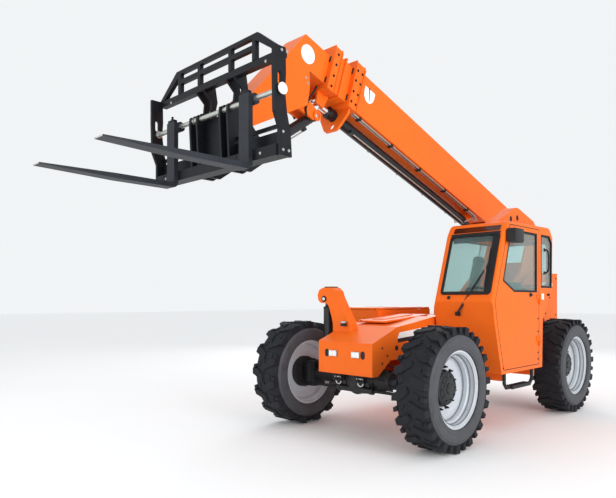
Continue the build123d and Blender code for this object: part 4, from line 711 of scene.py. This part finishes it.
handles = Piece("cab_grab_handle", "black")
handles.tube([at(-0.605, 1.168, 1.87), at(-0.605, 1.2, 1.876), at(-0.6, 1.222, 1.91),
              at(-0.598, 1.226, 2.015), at(-0.6, 1.222, 2.12), at(-0.605, 1.2, 2.154),
              at(-0.605, 1.168, 2.16)], 0.011, 12)
for z in (1.87, 2.16):
    handles.lathe(at(-0.605, CAB_SIDE, z), Y, [(0.022, -0.002), (0.022, 0.005), (0.014, 0.008)], steps=18)
handles.box(at(-0.716, 1.176, 1.596), (0.052, 0.014, 0.03), 0.004)
handles.lathe(at(-0.716, 1.182, 1.596), Y, [(0.013, 0.0), (0.013, 0.01), (0, 0.011)], steps=16)
handles.done()
plate = Piece("blank_plate", "white")
plate.box(at(-0.556, 1.1707, 1.572), (0.07, 0.0022, 0.074), 0.0005)
plate.done()

latch = Piece("door_latch", "black", "door")
latch.lathe(at(-0.2, CAB_SIDE, 1.592), Y,
            [(0.026, -0.001), (0.026, 0.006), (0.02, 0.01), (0.02, 0.012), (0.011, 0.012), (0.011, 0.024),
             (0, 0.025)], steps=28)
latch.box(at(-0.2, 1.19, 1.592), (0.062, 0.01, 0.016), 0.004)
for z in (0.8, 0.88, 1.14, 1.3):
    latch.bolt(at(-0.415, CAB_SIDE, z), Y, 0.008, 0.007)
latch.done()
shroud = Piece("mirror_shroud", "black", "door")
shroud.box(at(0.345, 1.238, 2.265), (0.218, 0.108, 0.158), 0.018)
shroud.done()
mirror_face = Piece("mirror_glass", "chrome", "door")
mirror_face.plate([at(0.2355, 1.238 + a, 2.265 + b) for a, b in rounded(0.043, 0.067, 0.012)], -X * 0.002)
mirror_face.done()
mirror_arm = Piece("mirror_arm_clamp", "dark", "door")
mirror_arm.tube([at(0.3, 1.172, 2.295), at(0.3, 1.18, 2.3), at(0.296, 1.19, 2.31)], 0.01, 10)
for z in (2.245, 2.285):
    mirror_arm.bolt(at(0.285, CAB_SIDE, z), Y, 0.006, 0.006)
mirror_arm.done()

inside = Piece("cab_levers", "black")
inside.box(at(-0.02, 0.5, 1.27), (0.42, 0.09, 0.09), 0.02)
for x, lean in ((0.115, 0.04), (0.055, 0.0)):
    inside.tube([at(x, 0.5, 1.31), at(x + lean * 0.5, 0.5, 1.39), at(x + lean, 0.5, 1.46)], 0.008, 8)
    inside.lathe(at(x + lean, 0.5, 1.45), Z,
                 [(0.012, 0.0), (0.022, 0.012), (0.024, 0.04), (0.018, 0.058), (0, 0.064)], steps=18)
inside.tube([at(0.47, 0.64, 1.455), at(0.455, 0.625, 1.52), at(0.45, 0.6, 1.58)], 0.007, 8)
inside.lathe(at(0.45, 0.6, 1.574), Z, [(0.01, 0.0), (0.018, 0.01), (0.018, 0.024), (0, 0.032)], steps=16)
for y in (0.7, 0.86):
    inside.box(at(0.36, y, 0.8), (0.09, 0.06, 0.014), 0.004, Matrix.Rotation(0.6, 4, "Y"))
    inside.tube([at(0.39, y, 0.735), at(0.385, y, 0.77), at(0.37, y, 0.795)], 0.007, 8)
inside.done()
gauges = Piece("dash_dials", "black")
for y in (0.705, 0.79, 0.875):
    gauges.lathe(at(0.415, y, 1.39), Vector((-0.85, 0, 0.35)),
                 [(0.032, -0.01), (0.032, 0.008), (0.027, 0.01), (0.026, 0.006), (0, 0.006)], steps=24)
gauges.done()
rest = Piece("seat_headrest", "seat")
rest.box(at(-0.47, SEAT_Y, 1.69), (0.075, 0.24, 0.13), 0.03, Matrix.Rotation(-0.14, 4, "Y"))
rest.box(at(-0.375, SEAT_Y, 1.36), (0.06, 0.3, 0.3), 0.026, Matrix.Rotation(-0.14, 4, "Y"))
rest.box(at(-0.19, SEAT_Y, 1.158), (0.4, 0.33, 0.04), 0.018)
rest.done()

tread = Piece("step_tread", "rubber")
for k in range(9):
    tread.box(at(-0.14 + k * 0.05, 1.14, 0.541), (0.02, 0.082, 0.006), 0.002)
tread.done()
bolts = Piece("cab_bolts", "dark")
for x, z in ((-0.76, 1.56), (-0.64, 1.36), (-0.56, 0.76), (-0.56, 1.0), (0.5, 0.76)):
    bolts.bolt(at(x, CAB_SIDE, z), Y, 0.008, 0.007)
for x, z in ((-0.124, 2.526), (-0.298, 2.554)):
    bolts.lathe(at(x, 0.951, z), Y, [(0.0356, 0.0), (0.0356, 0.003), (0, 0.003)], steps=28)
bolts.done()

# ------------------------------------------------------------------ boom
for name, body, columns, half, heads, r in (
        ("outer_collar_bolts", "outer_boom", (4.265, 4.34), 0.2253,
         [(4.3, y, 0.1503) for y in (-0.12, 0.0, 0.12)], 0.011),
        ("middle_collar_bolts", "mid_boom", (4.64,), 0.2033,
         [(4.64, y, 0.1283) for y in (-0.1, 0.1)], 0.01)):
    bolts = Piece(name, "dark", body)
    for side in BOTH:
        for u in columns:
            for w in (0.06, -0.06, -0.19, -0.31):
                bolts.bolt(on_boom(u, side * half, w), Y * side, 0.011, 0.009)
    for spot in heads:
        bolts.bolt(on_boom(*spot), W, r, 0.009)
    bolts.done()
for name, body, ends, half, upright, top, lintel in (
        ("collar_flanges", "outer_boom", (4.236, 4.372), 0.23,
         (0.014, 0.016, 0.5), 0.158, (0.014, 0.44, 0.022)),
        ("middle_collar_flanges", "mid_boom", (4.588, 4.692), 0.207,
         (0.012, 0.014, 0.46), 0.134, (0.012, 0.4, 0.02))):
    flanges = Piece(name, "orange", body)
    for side in BOTH:
        for u in ends:
            flanges.box(on_boom(u, side * half, -0.125), upright, 0.003, FLAT_TURN)
    for u in ends:
        flanges.box(on_boom(u, 0, top), lintel, 0.003, FLAT_TURN)
    flanges.done()
for name, body, u, half, heights, upright, top, flat in (
        ("outer_wear_pads", "outer_boom", 4.3835, 0.1905, (0.04, -0.28), (0.008, 0.016, 0.07),
         (0.11, 0.0975), (0.008, 0.09, 0.018)),
        ("middle_wear_pads", "mid_boom", 4.7035, 0.163, (-0.02, -0.26), (0.008, 0.018, 0.06),
         (0.08, 0.036), (0.008, 0.08, 0.02))):
    pads = Piece(name, "plastic", body)
    for side in BOTH:
        for w in heights:
            pads.box(on_boom(u, side * half, w), upright, 0.002, FLAT_TURN)
        pads.box(on_boom(u, side * top[0], top[1]), flat, 0.002, FLAT_TURN)
    pads.done()

pipes = Piece("boom_pipes", "steel", "outer_boom")
clamps = Piece("boom_pipe_clamps", "black", "outer_boom")
for y, w in ((0.132, -0.3685), (0.164, -0.3685), (-0.132, -0.3685), (-0.164, -0.3685)):
    pipes.tube([on_boom(1.52, y, w), on_boom(4.215, y, w)], 0.0105, 12)
    pipes.tube([on_boom(1.53, y, w), on_boom(1.47, y, w - 0.01), on_boom(1.425, y, w - 0.05)], 0.0105, 12)
for u in (1.7, 2.3, 2.9, 3.5, 4.1):
    for side in BOTH:
        clamps.box(on_boom(u, side * 0.148, -0.371), (0.034, 0.068, 0.03), 0.005, FLAT_TURN)
        clamps.bolt(on_boom(u, side * 0.148, -0.386), -W, 0.007, 0.007)
pipes.done()
clamps.done()
gland = Piece("extend_cylinder_gland", "cylinder", "outer_boom")
gland.lathe(on_boom(4.395, 0, -0.44), U,
            [(0.0603, 0.0), (0.068, 0.004), (0.068, 0.04), (0.061, 0.0455), (0.0605, 0.0455)], steps=32)
for u in (4.06, 1.56):
    gland.box(on_boom(u, 0.045, -0.485), (0.05, 0.04, 0.036), 0.004, FLAT_TURN)
gland.done()
ports = Piece("extend_cylinder_lines", "steel", "outer_boom")
ports.tube([on_boom(1.585, 0.052, -0.497), on_boom(2.4, 0.06, -0.493), on_boom(4.035, 0.052, -0.497)], 0.008,
           10)
ports.tube([on_boom(1.55, 0.06, -0.48), on_boom(1.5, 0.1, -0.43), on_boom(1.46, 0.132, -0.4)], 0.0085, 10)
ports.done()

mark = Piece("angle_plate", "white", "outer_boom")
needle = Piece("angle_needle", "black", "outer_boom")
middle = on_boom(4.07, 0.2004, -0.055)
shield = ((0.088, 0.055), (-0.088, 0.055), (-0.088, -0.01), (-0.074, -0.062), (-0.04, -0.096), (0.0, -0.108),
          (0.04, -0.096), (0.074, -0.062), (0.088, -0.01))
mark.plate([middle + U * a + W * b for a, b in shield], Y * 0.0016)
needle.lathe(middle + Z * 0.06 + Y * 0.0012, Y, [(0.009, 0.0), (0.009, 0.006), (0, 0.007)], steps=16)
pointer = ((-0.006, 0.06), (0.006, 0.06), (0.003, -0.075), (-0.003, -0.075))
needle.plate([middle + Y * 0.0034 + X * a + Z * b for a, b in pointer], Y * 0.0016)
mark.done()
needle.done()
disc = Piece("head_discs", "white", "inner_boom")
disc_pins = Piece("head_disc_pins", "steel", "inner_boom")
for side in BOTH:
    disc.lathe(on_boom(4.99, side * 0.1502, -0.155), Y * side, [(0.095, 0.0), (0.095, 0.0016), (0, 0.0016)],
               steps=56)
    disc_pins.lathe(on_boom(HEAD_U, side * 0.0852, HEAD_W), Y * side,
                    [(0.026, 0.0), (0.026, 0.006), (0.0182, 0.01), (0, 0.011)], steps=28)
disc.done()
disc_pins.done()
bosses = Piece("head_pin_caps", "orange", "inner_boom")
ends = Piece("head_pin_ends", "steel", "inner_boom")
for side in BOTH:
    bosses.lathe(on_boom(HEAD_U, side * 0.0848, HEAD_W), Y * side,
                 [(0.052, -0.001), (0.052, 0.016), (0.048, 0.02), (0.03, 0.02), (0.03, 0.008),
                  (0.0265, 0.008)], steps=32)
    ends.lathe(on_boom(HINGE_U, side * 0.1952, HINGE_W), Y * side,
               [(0.0405, -0.002), (0.04, 0.004), (0.034, 0.008), (0, 0.009)], steps=28)
    ends.bolt(on_boom(HINGE_U, side * 0.2032, HINGE_W), Y * side, 0.01, 0.009)
    for a, b in ((4.905, -0.43), (4.945, -0.395)):
        ends.bolt(on_boom(a, side * 0.1503, b), Y * side, 0.01, 0.008)
bosses.done()
ends.done()
hoses = Piece("tilt_hoses", "rubber", "inner_boom")
for s in BOTH:
    hoses.tube([on_boom(4.712, s * 0.06, -0.318), on_boom(4.752, s * 0.095, -0.4),
                on_boom(4.8, s * 0.104, -0.52), on_boom(4.812, s * 0.1, -0.64),
                on_boom(4.77, s * 0.086, -0.7)], 0.0105, 12)
hoses.done()

riser_caps = Piece("pivot_pin_caps", "dark")
for side in BOTH:
    p = at(BOOM_X, side * 0.351, BOOM_Z)
    riser_caps.lathe(p, Y * side, [(0.06, -0.001), (0.06, 0.007), (0.05, 0.011), (0, 0.011)], steps=32)
    for a in spread(3, pi / 2):
        riser_caps.bolt(p + spoke(a) * 0.042 + Y * side * 0.008, Y * side, 0.008, 0.009)
riser_caps.done()

for name, body, foot, eye, r, length, rod_r in (
        ("lift", "lift_barrel_body", at(-0.6, 0, 0.9), on_boom(0.85, 0, -0.2), 0.08, 1.33, 0.042),
        ("tilt", "tilt_barrel_body", on_boom(HEAD_U, 0, HEAD_W),
         on_boom(HINGE_U, 0, HINGE_W) + Vector((-0.2, 0, -0.26)), 0.055, 0.64, 0.03)):
    way = (eye - foot).normalized()
    gland = Piece(name + "_cylinder_gland", "cylinder", body)
    gland.lathe(foot + way * (length - 0.06), way,
                [(r + 0.0003, 0.0), (r * 1.1, 0.005), (r * 1.1, 0.048), (r * 1.02, 0.058), (r, 0.0615),
                 (rod_r + 0.003, 0.0615)], steps=36)
    side_way = way.cross(Y).normalized()
    if side_way.x < 0:
        side_way = -side_way
    turn = axes_turn(way, Y, way.cross(Y))
    for k in (0.16, length - 0.11):
        gland.box(foot + way * k - side_way * (r + 0.008), (0.05, 0.04, 0.034), 0.004, turn)
    gland.done()
    line = Piece(name + "_cylinder_line", "steel", body)
    line.tube([foot + way * 0.16 - side_way * (r + 0.022), foot + way * 0.24 - side_way * (r + 0.02),
               foot + way * (length - 0.19) - side_way * (r + 0.02),
               foot + way * (length - 0.11) - side_way * (r + 0.022)], 0.008, 10)
    line.done()

# ------------------------------------------------------------------ carriage and forks
caps = Piece("shaft_caps", "white", "carriage")
for side in BOTH:
    caps.lathe(at(SHAFT_X, side * 0.9295, SHAFT_Z), Y * side,
               [(0.044, -0.001), (0.046, 0.003), (0.046, 0.01), (0.04, 0.014), (0, 0.015)], steps=40)
caps.done()
rings = Piece("shaft_collars", "steel", "carriage")
for side in BOTH:
    rings.lathe(at(SHAFT_X, side * 0.866, SHAFT_Z), Y * side,
                [(0.0222, 0.0), (0.034, 0.001), (0.034, 0.017), (0.0222, 0.018)], steps=28)
    rings.lathe(at(SHAFT_X, side * 0.262, SHAFT_Z), Y * side,
                [(0.0222, -0.02), (0.03, -0.019), (0.03, 0.001), (0.0222, 0.002)], steps=28)
rings.done()
bolts = Piece("carriage_bolts", "steel", "carriage")
for side in BOTH:
    for x, z in ((3.655, 3.47), (3.6, 3.47), (3.64, 2.7), (3.58, 2.7), (3.64, 2.84)):
        bolts.bolt(at(x, side * 0.9153, z), Y * side, 0.009, 0.008)
    for x, z in ((3.6895, 2.7), (3.6305, 3.45)):
        bolts.bolt(at(x, side * 0.7, z), X, 0.009, 0.008)
bolts.done()
stops = Piece("fork_rail_notches", "black", "carriage")
for k in range(-6, 7):
    if abs(k) > 1:
        stops.box(at(3.6905, k * 0.125, 2.725), (0.004, 0.012, 0.024), 0.001)
stops.done()
for name, body, y in (("left", "left_fork", 0.546), ("right", "right_fork", -0.546)):
    lock = Piece(name + "_fork_lock", "dark", body)
    lock.box(at(3.713, y, 3.212), (0.042, 0.1, 0.026), 0.008)
    lock.lathe(at(3.713, y, 3.222), Z,
               [(0.016, 0.0), (0.016, 0.012), (0.01, 0.016), (0.01, 0.03), (0.014, 0.034), (0, 0.04)],
               steps=18)
    lock.done()
    worn = Piece(name + "_fork_wear", "steel", body)
    worn.plate([at(4.955, y + a, 2.607 + b)
                for a, b in ((-0.055, 0.0), (0.055, 0.0), (0.055, 0.01), (-0.055, 0.01))], X * 0.0008)
    worn.done()
fitting = Piece("carriage_lubrication", "steel", "carriage")
for side in BOTH:
    for z in (3.02, 2.88):
        fitting.lathe(at(3.56, side * 0.191, z), Y * side,
                      [(0.007, -0.004), (0.007, 0.006), (0.004, 0.01), (0, 0.012)], steps=12)
fitting.done()

# ------------------------------------------------------------------ rear body
grille = Piece("rear_grille", "black")
grille.box(at(-2.5425, 0, 1.48), (0.005, 0.56, 0.42), 0.001)
for k in range(9):
    grille.box(at(-2.552, 0, 1.31 + k * 0.0425), (0.02, 0.54, 0.01), 0.002, Matrix.Rotation(0.5, 4, "Y"))
grille.done()
lamps = Piece("rear_lamps", "red_lens")
amber = Piece("rear_indicators", "amber")
frames = Piece("rear_lamp_frames", "black")
for side in BOTH:
    frames.box(at(-2.545, side * 0.44, 1.09), (0.012, 0.13, 0.15), 0.006)
    lamps.box(at(-2.553, side * 0.44, 1.118), (0.01, 0.104, 0.064), 0.004)
    amber.box(at(-2.553, side * 0.44, 1.05), (0.01, 0.104, 0.046), 0.004)
for piece in (lamps, amber, frames):
    piece.done()
seams = Piece("rear_body_bolts", "dark")
for side in BOTH:
    for x, z in ((-2.48, 1.86), (-2.48, 1.3), (-2.48, 0.9), (-1.1, 1.39), (-0.86, 1.38)):
        seams.bolt(at(x, side * 0.5605, z), Y * side, 0.009, 0.008)
for y, z in ((0.34, 1.74), (-0.34, 1.74), (0.34, 1.22), (-0.34, 1.22)):
    seams.bolt(at(-2.5405, y, z), -X, 0.009, 0.008)
seams.done()

# ------------------------------------------------------------------ engine pod and tank
fittings = Piece("hood_latches", "black", "hood")
for x in (-0.14, 0.33):
    fittings.box(at(x, -1.1745, 1.17), (0.09, 0.009, 0.034), 0.003)
    fittings.box(at(x, -1.18, 1.17), (0.06, 0.008, 0.014), 0.003)
fittings.tube([at(-0.02, -1.169, 1.33), at(-0.02, -1.196, 1.33), at(0.08, -1.2, 1.33),
               at(0.18, -1.196, 1.33), at(0.18, -1.169, 1.33)], 0.008, 10)
fittings.done()
vents = Piece("hood_vents", "black", "hood")
for k in range(7):
    vents.box(at(-0.3 + k * 0.03, -1.1708, 1.33), (0.014, 0.003, 0.12), 0.001)
for k in range(10):
    vents.box(at(0.0 + k * 0.036, -0.8, 1.4305), (0.016, 0.36, 0.003), 0.001)
vents.done()
tank = Piece("tank_fittings", "black")
tank.lathe(at(-0.575, -0.56, 1.298), Z,
           [(0.046, 0.0), (0.046, 0.022), (0.04, 0.03), (0.04, 0.052), (0.034, 0.058), (0, 0.058)], steps=28)
tank.box(at(-0.575, -0.6915, 1.13), (0.03, 0.005, 0.17), 0.002)
tank.done()
glass_tube = Piece("tank_sight_glass", "lens")
glass_tube.box(at(-0.575, -0.6945, 1.13), (0.014, 0.004, 0.13), 0.0015)
glass_tube.done()

# ------------------------------------------------------------------ light, floor and camera
floor_mesh = bpy.data.meshes.new("floor")
floor_corners = ((-60, -60), (60, -60), (60, 60), (-60, 60))
floor_mesh.from_pydata([(x, y, -0.002) for x, y in floor_corners], [], [(0, 1, 2, 3)])
floor = bpy.data.objects.new("floor", floor_mesh)
bpy.context.scene.collection.objects.link(floor)
floor_mesh.materials.append(material("pale_floor", (0.92, 0.92, 0.92), rough=0.8, vary=0.01, scale=0.5))

scene = bpy.context.scene
scene.view_settings.view_transform = "Standard"
world = bpy.data.worlds.new("studio")
scene.world = world
world.use_nodes = True
world.node_tree.nodes["Background"].inputs["Color"].default_value = (0.96, 0.98, 1.0, 1)
world.node_tree.nodes["Background"].inputs["Strength"].default_value = 0.92


def area_light(name, place, aim, power, width):
    lamp = bpy.data.lights.new(name, "AREA")
    lamp.energy, lamp.size = power, width
    obj = bpy.data.objects.new(name, lamp)
    scene.collection.objects.link(obj)
    obj.location = place
    obj.rotation_euler = (Vector(aim) - Vector(place)).to_track_quat("-Z", "Y").to_euler()


area_light("key", (1.5, 10.0, 4.0), (-0.6, 0, 1.6), 460, 5.0)
area_light("front_fill", (9.5, -3.0, 3.5), (0, 0, 1.5), 150, 5.0)
area_light("low_fill", (8.0, 4.5, 1.0), (1.0, -0.8, 0.7), 70, 3.0)
area_light("rear_fill", (-9.0, -6.0, 5.0), (-1, 0, 1.5), 260, 6.0)

lens = bpy.data.cameras.new("camera")
lens.sensor_width, lens.lens, lens.shift_y = 36.0, 33.97, 0.082
camera = bpy.data.objects.new("camera", lens)
scene.collection.objects.link(camera)
camera.location = at(6.7, 4.237, 1.535)
camera.rotation_euler = (pi / 2, 0, radians(134.9))
scene.camera = camera
